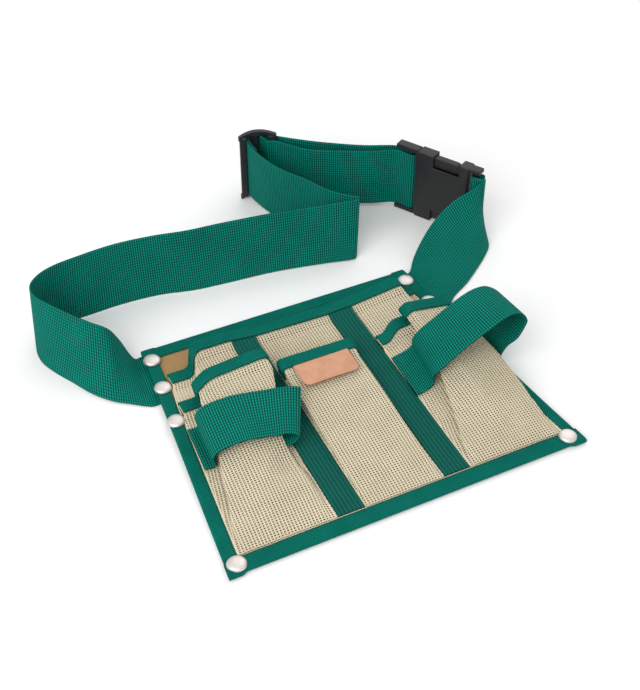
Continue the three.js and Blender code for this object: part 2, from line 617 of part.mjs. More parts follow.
const RIGHT_LOOP = [
  { nearX: 0.36, nearY: 0.374, nearZ: 0.25, farX: 0.368, farY: 0.558, farZ: 0.3 },
  { nearX: 0.440, nearY: 0.386, nearZ: 0.255, farX: 0.459, farY: 0.575, farZ: 0.305 },
  { nearX: 0.466, nearY: 0.391, nearZ: 0.29, farX: 0.498, farY: 0.585, farZ: 0.33 },
  { nearX: 0.456, nearY: 0.389, nearZ: 0.385, farX: 0.498, farY: 0.585, farZ: 0.43 },
  { nearX: 0.49, nearY: 0.377, nearZ: 0.53, farX: 0.522, farY: 0.577, farZ: 0.6 },
  { nearX: 0.61, nearY: 0.374, nearZ: 0.76, farX: 0.632, farY: 0.575, farZ: 0.78 },
  { nearX: 0.76, nearY: 0.377, nearZ: 0.94, farX: 0.755, farY: 0.573, farZ: 0.94 },
  { nearX: 0.868, nearY: 0.379, nearZ: 1.06, farX: 0.841, farY: 0.573, farZ: 1.01 },
  { nearX: 0.922, nearY: 0.379, nearZ: 1.075, farX: 0.921, farY: 0.573, farZ: 1 },
  { nearX: 0.971, nearY: 0.379, nearZ: 1.02, farX: 0.983, farY: 0.573, farZ: 0.9 },
  { nearX: 1.008, nearY: 0.379, nearZ: 0.88, farX: 1.028, farY: 0.57, farZ: 0.76 },
  { nearX: 0.998, nearY: 0.379, nearZ: 0.78, farX: 1.02, farY: 0.565, farZ: 0.64 },
  { nearX: 0.964, nearY: 0.382, nearZ: 0.6, farX: 0.988, farY: 0.558, farZ: 0.52 },
  { nearX: 0.929, nearY: 0.401, nearZ: 0.43, farX: 0.949, farY: 0.58, farZ: 0.38 },
  { nearX: 0.911, nearY: 0.412, nearZ: 0.27, farX: 0.925, farY: 0.594, farZ: 0.24 },
  { nearX: 0.893, nearY: 0.412, nearZ: 0.155, farX: 0.897, farY: 0.596, farZ: 0.145 },
  { nearX: 0.838, nearY: 0.412, nearZ: 0.135, farX: 0.838, farY: 0.596, farZ: 0.135 },
];
function loopRow(row) {
  const half = PANEL.bottomWidth / 2;
  const near = point(row.nearX * half, row.nearY * PANEL.height, row.nearZ * LOOP.rise);
  const far = point(row.farX * half, row.farY * PANEL.height, row.farZ * LOOP.rise);
  return edges(near, far, LOOP.width);
}

// Height of the low rivets, clear of the right loop's upper edge
const LOOP_TOP = RIGHT_LOOP.at(-1).nearY * PANEL.height + LOOP.width;
const LOW_RIVET = LOOP_TOP + RIVET.aboveLoop + RIVET.capRadius;

// Rivets: side of the panel, height up it and distance in from its edge
const RIVETS = [
  { name: 'rivet_left_top', side: -1, y: PANEL.height * 0.935, inset: 4.8 },
  { name: 'rivet_left_middle', side: -1, y: PANEL.height * 0.794, inset: 4.8 },
  { name: 'rivet_left_low', side: -1, y: LOW_RIVET, inset: 4.8 },
  { name: 'rivet_left_corner', side: -1, y: TAPE.width * 0.44, inset: 7 },
  { name: 'rivet_right_top', side: 1, y: PANEL.height * 0.935, inset: 6.5 },
  { name: 'rivet_right_middle', side: 1, y: PANEL.height * 0.794, inset: 6 },
  { name: 'rivet_right_low', side: 1, y: LOW_RIVET, inset: 5.5 },
  { name: 'rivet_right_corner', side: 1, y: TAPE.width * 0.48, inset: 9.5 },
];
const rivetX = (rivet) => rivet.side * (halfWidth(rivet.y) - rivet.inset);

function rivetSolid(rivet) {
  const seat = TAPE_TOP + lift(rivet.y) + CLEAR;
  const foot = CLEAR + (rivet.y > BELT.attachLow ? 0 : lift(rivet.y));
  const { capRadius, capHeight, shankRadius, sides } = RIVET;
  const dome = new THREE.QuadraticBezierCurve(
    new THREE.Vector2(capRadius, seat + 0.5), new THREE.Vector2(capRadius * 0.75, seat + capHeight),
    new THREE.Vector2(0, seat + capHeight));
  const profile = [
    new THREE.Vector2(0, foot), new THREE.Vector2(shankRadius, foot), new THREE.Vector2(shankRadius, seat),
    new THREE.Vector2(capRadius, seat), ...dome.getPoints(3),
  ];
  const lathe = new THREE.LatheGeometry(profile, sides).rotateX(Math.PI / 2);
  return tidy(lathe).translate(rivetX(rivet), rivet.y, 0);
}

// Lathe and extrude results as one closed surface without its doubled seam
function tidy(geometry) {
  const solid = toSolid(geometry);
  return fromSolid(solid);
}

function hole(rivet) {
  const radius = RIVET.shankRadius + CLEAR;
  const tall = TAPE_TOP + LIFT + 4;
  const cylinder = new THREE.CylinderGeometry(radius, radius, tall, 12);
  return cylinder.rotateX(Math.PI / 2).translate(rivetX(rivet), rivet.y, tall / 2 - 1);
}
const onSide = (side) => RIVETS.filter((rivet) => rivet.side === side);
const isCorner = (rivet) => rivet.y < TAPE.width;
const isTop = (rivet) => rivet.y > PANEL.height - TAPE.width - RIVET.capRadius;
const sideHoles = (side) => onSide(side).filter((rivet) => !isCorner(rivet)).map(hole);
const strapHoles = (side) => onSide(side).filter((rivet) => rivet.y > BELT.attachLow).map(hole);

// Leather label below the centre pocket's tape
function labelSolid(faceAt) {
  const { width, height, wall, corner } = LABEL;
  const yTop = CENTRE_POCKET.mouth - TAPE.mouthWidth - CLEAR;
  const yLow = yTop - height;
  const outline = new THREE.Shape();
  outline.moveTo(-width / 2, height);
  outline.lineTo(-width / 2, corner);
  outline.quadraticCurveTo(-width / 2, 0, corner - width / 2, 0);
  outline.lineTo(width / 2 - corner, 0);
  outline.quadraticCurveTo(width / 2, 0, width / 2, corner);
  outline.lineTo(width / 2, height);
  const plate = new THREE.ExtrudeGeometry(outline, { depth: wall, bevelEnabled: false, curveSegments: 5 });
  const tilt = Math.atan2(faceAt(yTop) - faceAt(yLow), height);
  return tidy(plate).rotateX(tilt).translate(LABEL.x, yLow, faceAt(yLow) + CLEAR * 2);
}

// Hardware in its own plan: along X, back along Y, up Z, then turned into place
function place(geometry, hardware) {
  return geometry.rotateZ(toRadians(hardware.turn)).translate(hardware.x, hardware.y, 0);
}

function sliderSolid() {
  const half = SLIDER.length / 2;
  const depth = SLIDER.depth / 2;
  const rail = new THREE.Shape();
  rail.moveTo(-half, -depth);
  rail.quadraticCurveTo(0, 2 * SLIDER.bow - depth, half, -depth);
  rail.quadraticCurveTo(half + depth, 0, half, depth);
  rail.quadraticCurveTo(0, 2 * SLIDER.bow + depth, -half, depth);
  rail.quadraticCurveTo(-half - depth, 0, -half, -depth);
  const options = { depth: FRAME_RAIL, bevelEnabled: false, curveSegments: 8 };
  const lower = new THREE.ExtrudeGeometry(rail, options);
  const upper = lower.clone().translate(0, 0, SLIDER.height - FRAME_RAIL);
  const bar = (along, back, halfAlong) => block(
    [along - halfAlong, back - depth, FRAME_RAIL / 2],
    [along + halfAlong, back + depth, SLIDER.height - FRAME_RAIL / 2]);
  const bars = [
    bar(-SLIDER_END, 0, SLIDER.bar / 2), bar(SLIDER_END, 0, SLIDER.bar / 2),
    bar(SLIDER_BAR.along, SLIDER.bow, SLIDER_BAR.halfWidth),
  ];
  return place(join([lower, upper, ...bars]), SLIDER);
}

// A pair of rails with a bar, where webbing goes round the buckle's end
function webEye(start, finish, barAlong) {
  const depth = BUCKLE.frameDepth / 2;
  const bar = BUCKLE.bar / 2;
  return [
    block([start, -depth, 0], [finish, depth, FRAME_RAIL]),
    block([start, -depth, BUCKLE.height - FRAME_RAIL], [finish, depth, BUCKLE.height]),
    block([barAlong - bar, -bar, FRAME_RAIL / 2], [barAlong + bar, bar, BUCKLE.height - FRAME_RAIL / 2]),
  ];
}

const BODY_START = MALE_BAR.along + BAR_TURN + WEB.wall / 2 + CLEAR;
const HOUSING_START = BUCKLE.endLength + CLEAR;
const HOUSING_END = HOUSING_START + BUCKLE.housingLength;

function maleSolid() {
  const depth = BUCKLE.frameDepth / 2;
  const prongDepth = PRONG.depth / 2;
  const inside = BUCKLE.wall + CLEAR;
  const reach = HOUSING_START + PRONG.windowEnd - CLEAR;
  const middle = BUCKLE.height / 2;
  const prongHead = (z) => {
    const radius = PRONG.width / 2;
    const head = new THREE.CylinderGeometry(radius, radius, PRONG.depth, 20);
    return head.translate(reach - radius, 0, z);
  };
  const low = inside + PRONG.width / 2;
  const high = BUCKLE.height - low;
  const prong = (z) => block(
    [BODY_START, -prongDepth, z - PRONG.width / 2], [reach - PRONG.width / 2, prongDepth, z + PRONG.width / 2]);
  return place(join([
    ...webEye(0, BODY_START + 1, MALE_BAR.along),
    block([BODY_START, -depth, 0], [BUCKLE.endLength, depth, BUCKLE.height]),
    prong(low), prong(high), prongHead(low), prongHead(high),
    block([BODY_START, -prongDepth, middle - PRONG.tongue / 2], [reach, prongDepth, middle + PRONG.tongue / 2]),
  ]), BUCKLE);
}

function femaleSolid() {
  const depth = BUCKLE.housingDepth / 2;
  const inner = PRONG.depth / 2 + CLEAR * 2;
  const { wall, height } = BUCKLE;
  const shell = block([HOUSING_START, -depth, 0], [HOUSING_END, depth, height]);
  const cavity = block([HOUSING_START - 1, -inner, wall], [HOUSING_END - 3, inner, height - wall]);
  const window = (zLow, zHigh) => block(
    [HOUSING_START + PRONG.windowStart, -depth - 1, zLow], [HOUSING_START + PRONG.windowEnd, depth + 1, zHigh]);
  const windowDepth = wall + PRONG.width + CLEAR;
  const housing = cut(shell, [cavity, window(-1, windowDepth), window(height - windowDepth, height + 1)]);
  return place(join([housing, ...webEye(HOUSING_END - 1, BUCKLE_LENGTH, FEMALE_BAR.along)]), BUCKLE);
}

// The assembly
addPiece('back_panel', cut(panelSolid(), RIVETS.map(hole)), TAN);
addPiece('binding_left', cut(sideTape(-1), sideHoles(-1)), GREEN);
addPiece('binding_right', cut(sideTape(1), sideHoles(1)), GREEN);
addPiece('binding_top', cut(endTape(PANEL.height, -1), RIVETS.filter(isTop).map(hole)), GREEN);
addPiece('binding_bottom', cut(endTape(0, 1), RIVETS.filter(isCorner).map(hole)), GREEN);

const backRows = pocketRows([0, 0.12, 0.3, 0.5, 0.75, 1], BACK_POCKET.mouth, (up, y, atMouth) => (
  backLine(y, atMouth * MOUTH_RAISE)));
const backMouth = backRows[backRows.length - 1].points;
addPiece('back_pocket', cloth(backRows, MESH_WALL, FOLD), CREAM);
addPiece('back_pocket_binding', mouthTape(backMouth, BACK_POCKET.mouth, FOLD), GREEN);

for (const pocket of POCKETS) {
  const lineAt = frontLine(pocket.table, pocket.size.rise, pocket.left, pocket.right);
  const rows = pocketRows(pocket.table.map((row) => row.up), pocket.size.mouth, lineAt);
  addPiece(pocket.name, cloth(rows, MESH_WALL, FOLD), CREAM);
  const mouth = rows[rows.length - 1];
  addPiece(`${pocket.name}_binding`, mouthTape(mouth.points, pocket.size.mouth, FOLD), GREEN);
  if (pocket.name === 'centre_pocket') {
    const span = pocket.size.mouth - TAPE.mouthWidth - FIRST_ROW;
    const faceAt = (y) => {
      const line = lineAt((y - FIRST_ROW) / span, y, 0);
      return Math.max(line[2][1], line[3][1], line[4][1]) + MOUTH_RAISE;
    };
    addPiece('leather_label', labelSolid(faceAt), LEATHER);
  }
}
addPiece('strip_left', stripSolid(STRIP.left), GREEN);
addPiece('strip_right', stripSolid(STRIP.right), GREEN);
addPiece('loop_left', band(LEFT_LOOP.map(loopRow), LOOP.wall, 2), GREEN);
addPiece('loop_right', band(RIGHT_LOOP.map(loopRow), LOOP.wall, 2), GREEN);
for (const rivet of RIVETS) {
  addPiece(rivet.name, rivetSolid(rivet), NICKEL);
}
addPiece('belt_left', cut(band(leftBeltRows(), WEB.wall, 2), strapHoles(-1)), GREEN);
addPiece('belt_right', cut(band(rightBeltRows(), WEB.wall, 2), strapHoles(1)), GREEN);
addPiece('slider', sliderSolid(), PLASTIC);
addPiece('buckle_male', maleSolid(), PLASTIC);
addPiece('buckle_female', femaleSolid(), PLASTIC);

// Origin below the middle of the whole, on the surface that it lies on
const whole = new THREE.Box3().setFromObject(beltGroup);
const middle = whole.getCenter(new THREE.Vector3());
beltGroup.position.set(-middle.x, -middle.y, -whole.min.z);

export default beltGroup;
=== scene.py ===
"""Looks of a panel tool belt: mesh pockets, webbing loops, rivets and a buckled waist strap."""

import logging
import math
from collections.abc import Callable, Sequence
from dataclasses import dataclass, field
from enum import Enum

import bpy
import numpy as np
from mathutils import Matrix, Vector


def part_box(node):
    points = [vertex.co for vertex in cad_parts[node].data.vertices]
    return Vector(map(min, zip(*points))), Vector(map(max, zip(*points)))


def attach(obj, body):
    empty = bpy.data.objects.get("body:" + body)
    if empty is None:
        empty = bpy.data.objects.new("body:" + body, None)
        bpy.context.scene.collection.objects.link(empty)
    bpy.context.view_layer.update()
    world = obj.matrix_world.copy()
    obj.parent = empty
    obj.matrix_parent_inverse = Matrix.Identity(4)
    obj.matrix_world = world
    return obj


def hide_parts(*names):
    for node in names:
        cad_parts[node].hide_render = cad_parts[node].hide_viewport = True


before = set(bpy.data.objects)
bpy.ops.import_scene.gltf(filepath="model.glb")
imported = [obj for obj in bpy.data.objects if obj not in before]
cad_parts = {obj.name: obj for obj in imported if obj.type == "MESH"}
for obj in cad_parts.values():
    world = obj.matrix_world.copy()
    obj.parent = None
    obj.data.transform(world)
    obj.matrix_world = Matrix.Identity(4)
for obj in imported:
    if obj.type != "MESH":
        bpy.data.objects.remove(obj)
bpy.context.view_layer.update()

LOG = logging.getLogger("tool_belt")
Rows = Sequence[tuple[float, ...]]
Colour = tuple[float, float, float]
Array = np.ndarray
Piece = bpy.types.Object
Material = bpy.types.Material

# Sizes in millimetres, in the panel's own frame; the edge tapes have the widths that show
CLEAR = 0.3
PANEL_BOTTOM = 253.0
PANEL_TOP_WIDTH = 210.5
PANEL_HEIGHT = 207.0
CLOTH_WALL = 0.95
END_TAPE = 10.8
SIDE_TAPE = 9.2
TAPE_WALL = 1.0
TAPE_TURN = 3.0
MOUTH_TAPE = 10.0
MESH_WALL = 1.0
WEB_WALL = 1.5
WEB_WIDTH = 50.0
KNOT_PITCH = 1.7
KNOT_ACROSS = 2.2
LOOP_WIDTH = 38.0
LOOP_RISE = 50.0
STRIP_WIDTH = 18.5
STRIP_RIBS = 7
STRIP_CENTRES = (-39.9, 35.5)
BELT_REACH = (175.0, 360.0)
PANEL_FLOOR = TAPE_WALL + CLEAR
PANEL_FACE = PANEL_FLOOR + 1.0
TAPE_TOP = PANEL_FACE + CLEAR + TAPE_WALL
FIRST_ROW = END_TAPE + CLEAR
MOUTH_RAISE = CLEAR + TAPE_WALL
LIFT = WEB_WALL + CLEAR
WEB_FLOOR = WEB_WALL / 2
BACK_RISE = 11.0
BACK_MOUTH = 185.5
SIDE_MOUTH = 147.0
CENTRE_MOUTH = 137.0
SEAM_INSET = 1.8
SEAM_RISE = 0.1

# Where the back pocket's cloth lies: share of half the width, share of its rise
BACK_SECTION: Rows = (
    (-0.75, 0.0), (-0.73, 1.0), (-0.48, 1.0), (-0.26, 0.72),
    (0.22, 0.6), (0.44, 0.72), (0.8, 1.15), (0.83, 0.0),
)
# Pocket shapes: up, left fold, right fold, left height, middle height, right height
LEFT_SHAPE: Rows = (
    (0, 0.08, 0.9, 0.03, 0.03, 0.03), (0.14, 0.04, 0.93, 0.2, 0.34, 0.26),
    (0.36, 0.1, 0.9, 0.42, 0.66, 0.5), (0.6, 0.17, 0.9, 0.65, 0.9, 0.72),
    (0.8, 0.19, 1.1, 0.85, 1, 0.88), (1, 0.215, 1.36, 0.88, 1, 1.02),
)
CENTRE_SHAPE: Rows = (
    (0, 0.08, 0.92, 0.03, 0.03, 0.03), (0.14, 0.01, 0.96, 0.22, 0.3, 0.28),
    (0.4, 0, 0.95, 0.5, 0.62, 0.6), (0.7, -0.01, 0.95, 0.8, 0.9, 0.85),
    (1, -0.02, 0.95, 1, 1, 0.98),
)
RIGHT_SHAPE: Rows = (
    (0, 0.08, 0.92, 0.03, 0.03, 0.03), (0.14, 0.05, 0.97, 0.22, 0.36, 0.2),
    (0.36, 0.15, 1.03, 0.45, 0.72, 0.45), (0.6, 0.28, 1.06, 0.62, 0.95, 0.7),
    (0.8, 0.34, 1.06, 0.72, 1, 0.8), (1, 0.4, 1.04, 0.74, 1, 0.86),
)
# Webbing edges: near x, y, z and far x, y, z, as shares of the belt's reach and webbing's width
LEFT_RUN: Rows = (
    (-0.734, 0.458, 0, -0.689, 0.564, 0.32), (-0.789, 0.479, 0, -0.731, 0.567, 0.64),
    (-0.849, 0.517, 0, -0.791, 0.59, 0.86), (-0.897, 0.563, 0, -0.851, 0.622, 0.91),
    (-0.942, 0.606, 0, -0.9, 0.657, 0.93), (-0.969, 0.644, 0, -0.934, 0.692, 0.95),
    (-0.966, 0.683, 0, -0.934, 0.714, 0.96), (-0.927, 0.717, 0, -0.897, 0.733, 0.98),
    (-0.857, 0.738, 0, -0.829, 0.749, 0.98), (-0.726, 0.74, 0, -0.697, 0.761, 0.98),
    (-0.56, 0.744, 0, -0.549, 0.765, 0.98), (-0.394, 0.738, 0, -0.389, 0.757, 0.98),
    (-0.251, 0.721, 0, -0.246, 0.744, 0.98), (-0.114, 0.713, 0, -0.109, 0.738, 0.98),
    (0.109, 0.703, 0, 0.114, 0.722, 0.98), (0.343, 0.681, 0, 0.349, 0.701, 0.98),
    (0.458, 0.668, 0, 0.49, 0.692, 0.98), (0.473, 0.669, 0, 0.507, 0.692, 0.98),
    (0.479, 0.674, 0, 0.512, 0.698, 0.98), (0.47, 0.679, 0, 0.502, 0.703, 0.99),
    (0.417, 0.717, 0.01, 0.423, 0.742, 1.01), (0.354, 0.786, 0.02, 0.357, 0.804, 1.02),
    (0.297, 0.853, 0.04, 0.289, 0.856, 1.04), (0.26, 0.905, 0.07, 0.252, 0.908, 1.07),
)
RIGHT_RUN: Rows = (
    (1.071, 0.617, 0.02, 1.036, 0.626, 1.01), (1.051, 0.582, 0, 0.986, 0.622, 0.93),
    (0.994, 0.553, 0, 0.92, 0.625, 0.74), (0.914, 0.522, 0, 0.837, 0.618, 0.52),
    (0.823, 0.49, 0, 0.757, 0.603, 0.28), (0.726, 0.463, 0, 0.691, 0.582, 0.08),
)
# Loop edges, as shares of half the panel's width, its height and the loop's rise
LEFT_LOOP: Rows = (
    (-0.858, 0.386, 0.165, -0.832, 0.575, 0.165), (-0.806, 0.384, 0.165, -0.783, 0.573, 0.165),
    (-0.798, 0.382, 0.21, -0.774, 0.572, 0.23), (-0.811, 0.38, 0.31, -0.787, 0.572, 0.36),
    (-0.789, 0.376, 0.43, -0.765, 0.57, 0.51), (-0.652, 0.366, 0.525, -0.62, 0.565, 0.61),
    (-0.522, 0.354, 0.5, -0.411, 0.557, 0.61), (-0.411, 0.343, 0.465, -0.265, 0.541, 0.605),
    (-0.376, 0.337, 0.4, -0.213, 0.532, 0.57), (-0.384, 0.338, 0.33, -0.248, 0.536, 0.51),
    (-0.405, 0.34, 0.29, -0.3, 0.541, 0.39), (-0.45, 0.342, 0.275, -0.35, 0.543, 0.34),
)
RIGHT_LOOP: Rows = (
    (0.346, 0.374, 0.212, 0.354, 0.558, 0.264), (0.44, 0.386, 0.22, 0.459, 0.575, 0.272),
    (0.466, 0.391, 0.27, 0.498, 0.585, 0.31), (0.456, 0.389, 0.385, 0.498, 0.585, 0.43),
    (0.49, 0.377, 0.53, 0.522, 0.577, 0.6), (0.61, 0.374, 0.76, 0.632, 0.575, 0.78),
    (0.76, 0.377, 0.94, 0.755, 0.573, 0.94), (0.868, 0.379, 1.06, 0.841, 0.573, 1.01),
    (0.922, 0.379, 1.075, 0.921, 0.573, 1), (0.971, 0.379, 1.02, 0.983, 0.573, 0.9),
    (1.008, 0.379, 0.88, 1.028, 0.57, 0.76), (0.998, 0.379, 0.78, 1.02, 0.565, 0.64),
    (0.964, 0.382, 0.6, 0.988, 0.558, 0.52), (0.929, 0.401, 0.43, 0.949, 0.58, 0.38),
    (0.911, 0.412, 0.27, 0.925, 0.594, 0.24), (0.893, 0.412, 0.155, 0.897, 0.596, 0.145),
    (0.838, 0.412, 0.135, 0.838, 0.596, 0.135),
)
# Bow of the strap's two layers between slider and buckle: share of the way, share to the side
FRONT_LAYER: Rows = ((0.28, 0.085), (0.44, 0.085), (0.6, 0.07), (0.82, 0.04))
BACK_LAYER: Rows = ((0.23, 0.03), (0.4, 0.04), (0.7, 0.035))


def lerp(a: float, b: float, t: float) -> float:
    """Value a share t of the way from a to b."""
    return a + (b - a) * t


def smooth(x: float | Array, low: float, high: float) -> float | Array:
    """Smooth step from 0 at low to 1 at high."""
    t = np.clip((x - low) / (high - low), 0, 1)
    return t * t * (3 - 2 * t)


def half_width(y: float | Array) -> float | Array:
    """Half the panel's width at a height y up the panel."""
    return lerp(PANEL_BOTTOM, PANEL_TOP_WIDTH, y / PANEL_HEIGHT) / 2


def lift(y: float | Array) -> float | Array:
    """How far the strap's flat ends raise the panel at y."""
    return LIFT * smooth(y / PANEL_HEIGHT, 0.15, 0.55)


def inner_edge(y: float) -> float:
    """Distance of the side tape's inner edge from the middle."""
    return half_width(y) - SIDE_TAPE - CLEAR


def taper_end(mouth: float) -> float:
    """Where a pocket's mouth tape begins."""
    return mouth - MOUTH_TAPE - TAPE_WALL


def taper_start(mouth: float) -> float:
    """Where the cloth starts to rise to its mouth tape."""
    return taper_end(mouth) - MOUTH_TAPE / 2


def back_height(x: float | Array, y: float) -> float | Array:
    """Height of the back pocket's outer face at a point of the panel."""
    grown = BACK_RISE * (min(y, BACK_MOUTH) / BACK_MOUTH) ** 1.2
    across, rises = zip(*BACK_SECTION)
    floor = PANEL_FACE + CLEAR + MESH_WALL + lift(y)
    return floor + grown * np.interp(x / half_width(y), across, rises, 0.0, 0.0)


def round_corners(points: Array, radius: float, steps: int = 8) -> Array:
    """Rounds an open line's corners to one bend radius where there is room.

    Args:
        points: (x, z) corners of the line.
        radius: Bend radius in millimetres.
        steps: Points in each bend.

    Returns:
        The line's points as an array of (x, z).
    """
    last = len(points) - 1
    reach = [0.0]
    for before, corner, after in zip(points, points[1:], points[2:]):
        a, b = before - corner, after - corner
        cosine = float(a @ b) / max(np.linalg.norm(a) * np.linalg.norm(b), 1e-9)
        half = math.acos(min(max(cosine, -1.0), 1.0)) / 2
        reach.append(radius * max(math.cos(half) / max(math.sin(half), 0.05) ** 2, 1.0))
    reach.append(0.0)
    line = [points[0]]
    for i in range(1, last):
        ends = []
        for j in (i - 1, i + 1):
            way = points[j] - points[i]
            share = min(1 / max(float(np.linalg.norm(way)), 1e-6), 1 / (reach[i] + reach[j]))
            ends.append(points[i] + way * min(reach[i] * share, 1.0) * 0.9)
        for t in np.arange(steps + 1) / steps:
            line.append((1 - t) ** 2 * ends[0] + 2 * t * (1 - t) * points[i] + t * t * ends[1])
    return np.array([*line, points[last]])


def spline(points: Array, t: Array) -> Array:
    """Centripetal Catmull-Rom curve through points.

    Args:
        points: (n, 3) points.
        t: Places along the curve from 0 to 1, evenly by point number.

    Returns:
        (len(t), 3) points on the curve.
    """
    p = np.vstack([2 * points[0] - points[1], points, 2 * points[-1] - points[-2]])
    place = np.clip(t, 0, 1) * (len(points) - 1)
    i = np.minimum(place.astype(int), len(points) - 2)
    w = (place - i)[:, None]
    a, b, c, d = (p[i + k] for k in range(4))
    d0, d1, d2 = (np.maximum(((u - v) ** 2).sum(1, keepdims=True) ** 0.25, 1e-4)
                  for u, v in ((a, b), (b, c), (c, d)))
    m1 = ((b - a) / d0 - (c - a) / (d0 + d1) + (c - b) / d1) * d1
    m2 = ((c - b) / d1 - (d - b) / (d1 + d2) + (d - c) / d2) * d1
    bend = (-3 * b + 3 * c - 2 * m1 - m2) * w**2
    return b + m1 * w + bend + (2 * b - 2 * c + m1 + m2) * w**3


def arc(points: Array) -> Array:
    """Distance along a line at each of its points."""
    return np.concatenate([[0.0], np.cumsum(np.linalg.norm(np.diff(points, axis=0), axis=1))])


def along(points: Array, places: Array, marks: Array | None = None) -> Array:
    """Points of a line at given distances along it, or along its marks."""
    marks = arc(points) if marks is None else marks
    return np.stack([np.interp(places, marks, column) for column in points.T], 1)


def unit(vectors: Array) -> Array:
    """Vectors scaled to length 1."""
    return vectors / np.maximum(np.linalg.norm(vectors, axis=-1, keepdims=True), 1e-9)


def edge_rows(table: Rows, scale: Sequence[float], base: float, width: float) -> Array:
    """Edges of webbing of a true width, from a table of shares.

    Args:
        table: Near x, y, z and far x, y, z of each row.
        scale: What the shares are of, in x, y and z.
        base: Height of the webbing's middle over the table's zero.
        width: The webbing's width.

    Returns:
        (rows, 2, 3) points of the near and far edges.
    """
    near, far = np.moveaxis(np.array(table, float).reshape(-1, 2, 3) * scale + [0, 0, base], 1, 0)
    return np.stack([near, near + unit(far - near) * width], 1)


def panel_shift() -> Array:
    """Where the panel frame's origin lies in the row frame, in millimetres."""
    low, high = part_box("back_panel")
    place = [(low.x + high.x) * 500, low.y * 1000 - PANEL_FLOOR, low.z * 1000 - PANEL_FLOOR]
    return np.array(place)


SHIFT = panel_shift()


def metres(points: Array) -> list:
    """Panel-frame millimetres as row-frame metres."""
    return ((points + SHIFT) / 1000).tolist()


def add_object(name: str, data: bpy.types.ID) -> Piece:
    """Adds an object with its data to the scene."""
    piece = bpy.data.objects.new(name, data)
    bpy.context.scene.collection.objects.link(piece)
    return piece


def add_mesh(name: str, points: Sequence, edges: Sequence = (), faces: Sequence = ()) -> Piece:
    """Adds a mesh object whose points are in metres."""
    mesh = bpy.data.meshes.new(name)
    mesh.from_pydata(points, edges, faces)
    return add_object(name, mesh)


class MeshMaker:
    """Turns arrays of panel-frame millimetres into objects of the row frame."""

    @staticmethod
    def build(
        name: str, points: Array, faces: Sequence, material: Material, uv: Array | None = None,
    ) -> Piece:
        """Makes one mesh object with smooth faces that point out.

        Args:
            name: The piece's name.
            points: (n, 3) points in millimetres.
            faces: Corner numbers of each face.
            material: The piece's finish.
            uv: (n, 2) texture place of each point, in millimetres along the cloth.

        Returns:
            The new object.
        """
        piece = add_mesh(name, metres(points), (), [list(map(int, face)) for face in faces])
        mesh = piece.data
        mesh.materials.append(material)
        if uv is not None:
            layer = mesh.uv_layers.new(name="cloth")
            corner = np.zeros(len(mesh.loops), np.int32)
            mesh.loops.foreach_get("vertex_index", corner)
            layer.data.foreach_set("uv", uv[corner].astype(np.float32).ravel())
        mesh.polygons.foreach_set("use_smooth", [True] * len(mesh.polygons))
        mesh.validate()
        mesh.update()
        if sum(face.center.dot(face.normal) * face.area for face in mesh.polygons) < 0:
            mesh.flip_normals()
        return piece

    @staticmethod
    def grid_faces(rows: int, columns: int, start: int = 0, close: bool = False) -> Array:
        """Quads of a grid of points whose rows follow each other from start."""
        last = columns if close else columns - 1
        r, c = np.meshgrid(np.arange(rows - 1), np.arange(last), indexing="ij")
        base, n = start + r * columns, (c + 1) % columns
        quads = [base + c, base + n, base + columns + n, base + columns + c]
        return np.stack(quads, -1).reshape(-1, 4)

    @classmethod
    def slab(cls, name: str, top: Array, bottom: Array, uv: Array, material: Material) -> Piece:
        """Closed sheet between two grids of points.

        Args:
            name: The piece's name.
            top: (rows, columns, 3) outer face.
            bottom: The same grid on the inner face.
            uv: (rows, columns, 2) texture places.
            material: The piece's finish.

        Returns:
            The new object.
        """
        rows, columns = top.shape[:2]
        n = rows * columns
        upper = cls.grid_faces(rows, columns)
        rim = np.concatenate([
            np.arange(columns), np.arange(1, rows) * columns + columns - 1,
            n - columns + np.arange(columns - 2, -1, -1), np.arange(rows - 2, 0, -1) * columns,
        ])
        after = np.roll(rim, -1)
        sides = np.stack([rim, rim + n, after + n, after], 1)
        faces = np.concatenate([upper[:, ::-1], upper + n, sides[:, ::-1]])
        points = np.concatenate([top.reshape(-1, 3), bottom.reshape(-1, 3)])
        return cls.build(name, points, faces, material, np.concatenate([uv.reshape(-1, 2)] * 2))

    @classmethod
    def sweep(cls, name: str, rings: Array, uv: Array, material: Material) -> Piece:
        """Closed tube through (rings, points, 3) closed outlines, with flat ends."""
        count, size = rings.shape[:2]
        ends = [list(range(size - 1, -1, -1)), [(count - 1) * size + k for k in range(size)]]
        faces = [*cls.grid_faces(count, size, close=True), *ends]
        return cls.build(name, rings.reshape(-1, 3), faces, material, uv.reshape(-1, 2))


class Body(Enum):
    """Bodies of the part: it has no joints, so it has only one."""

    ROOT = "root"


class Slot(Enum):
    """The record's material slots."""

    TAN = "tan_cloth"
    BINDING = "green_binding"
    WEBBING = "green_webbing"
    MESH = "cream_mesh"
    LEATHER = "label_leather"
    NICKEL = "rivet_nickel"
    PLASTIC = "black_plastic"


def register(piece: Piece, slot: Slot, *nodes: str) -> None:
    """Says which body and CAD nodes a finished piece belongs to."""
    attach(piece, Body.ROOT.value)
    if nodes:
        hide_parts(*nodes)
    count = len(piece.data.polygons)
    LOG.info("piece %s: %d faces, stands for %s", piece.name, count, nodes or "no node")


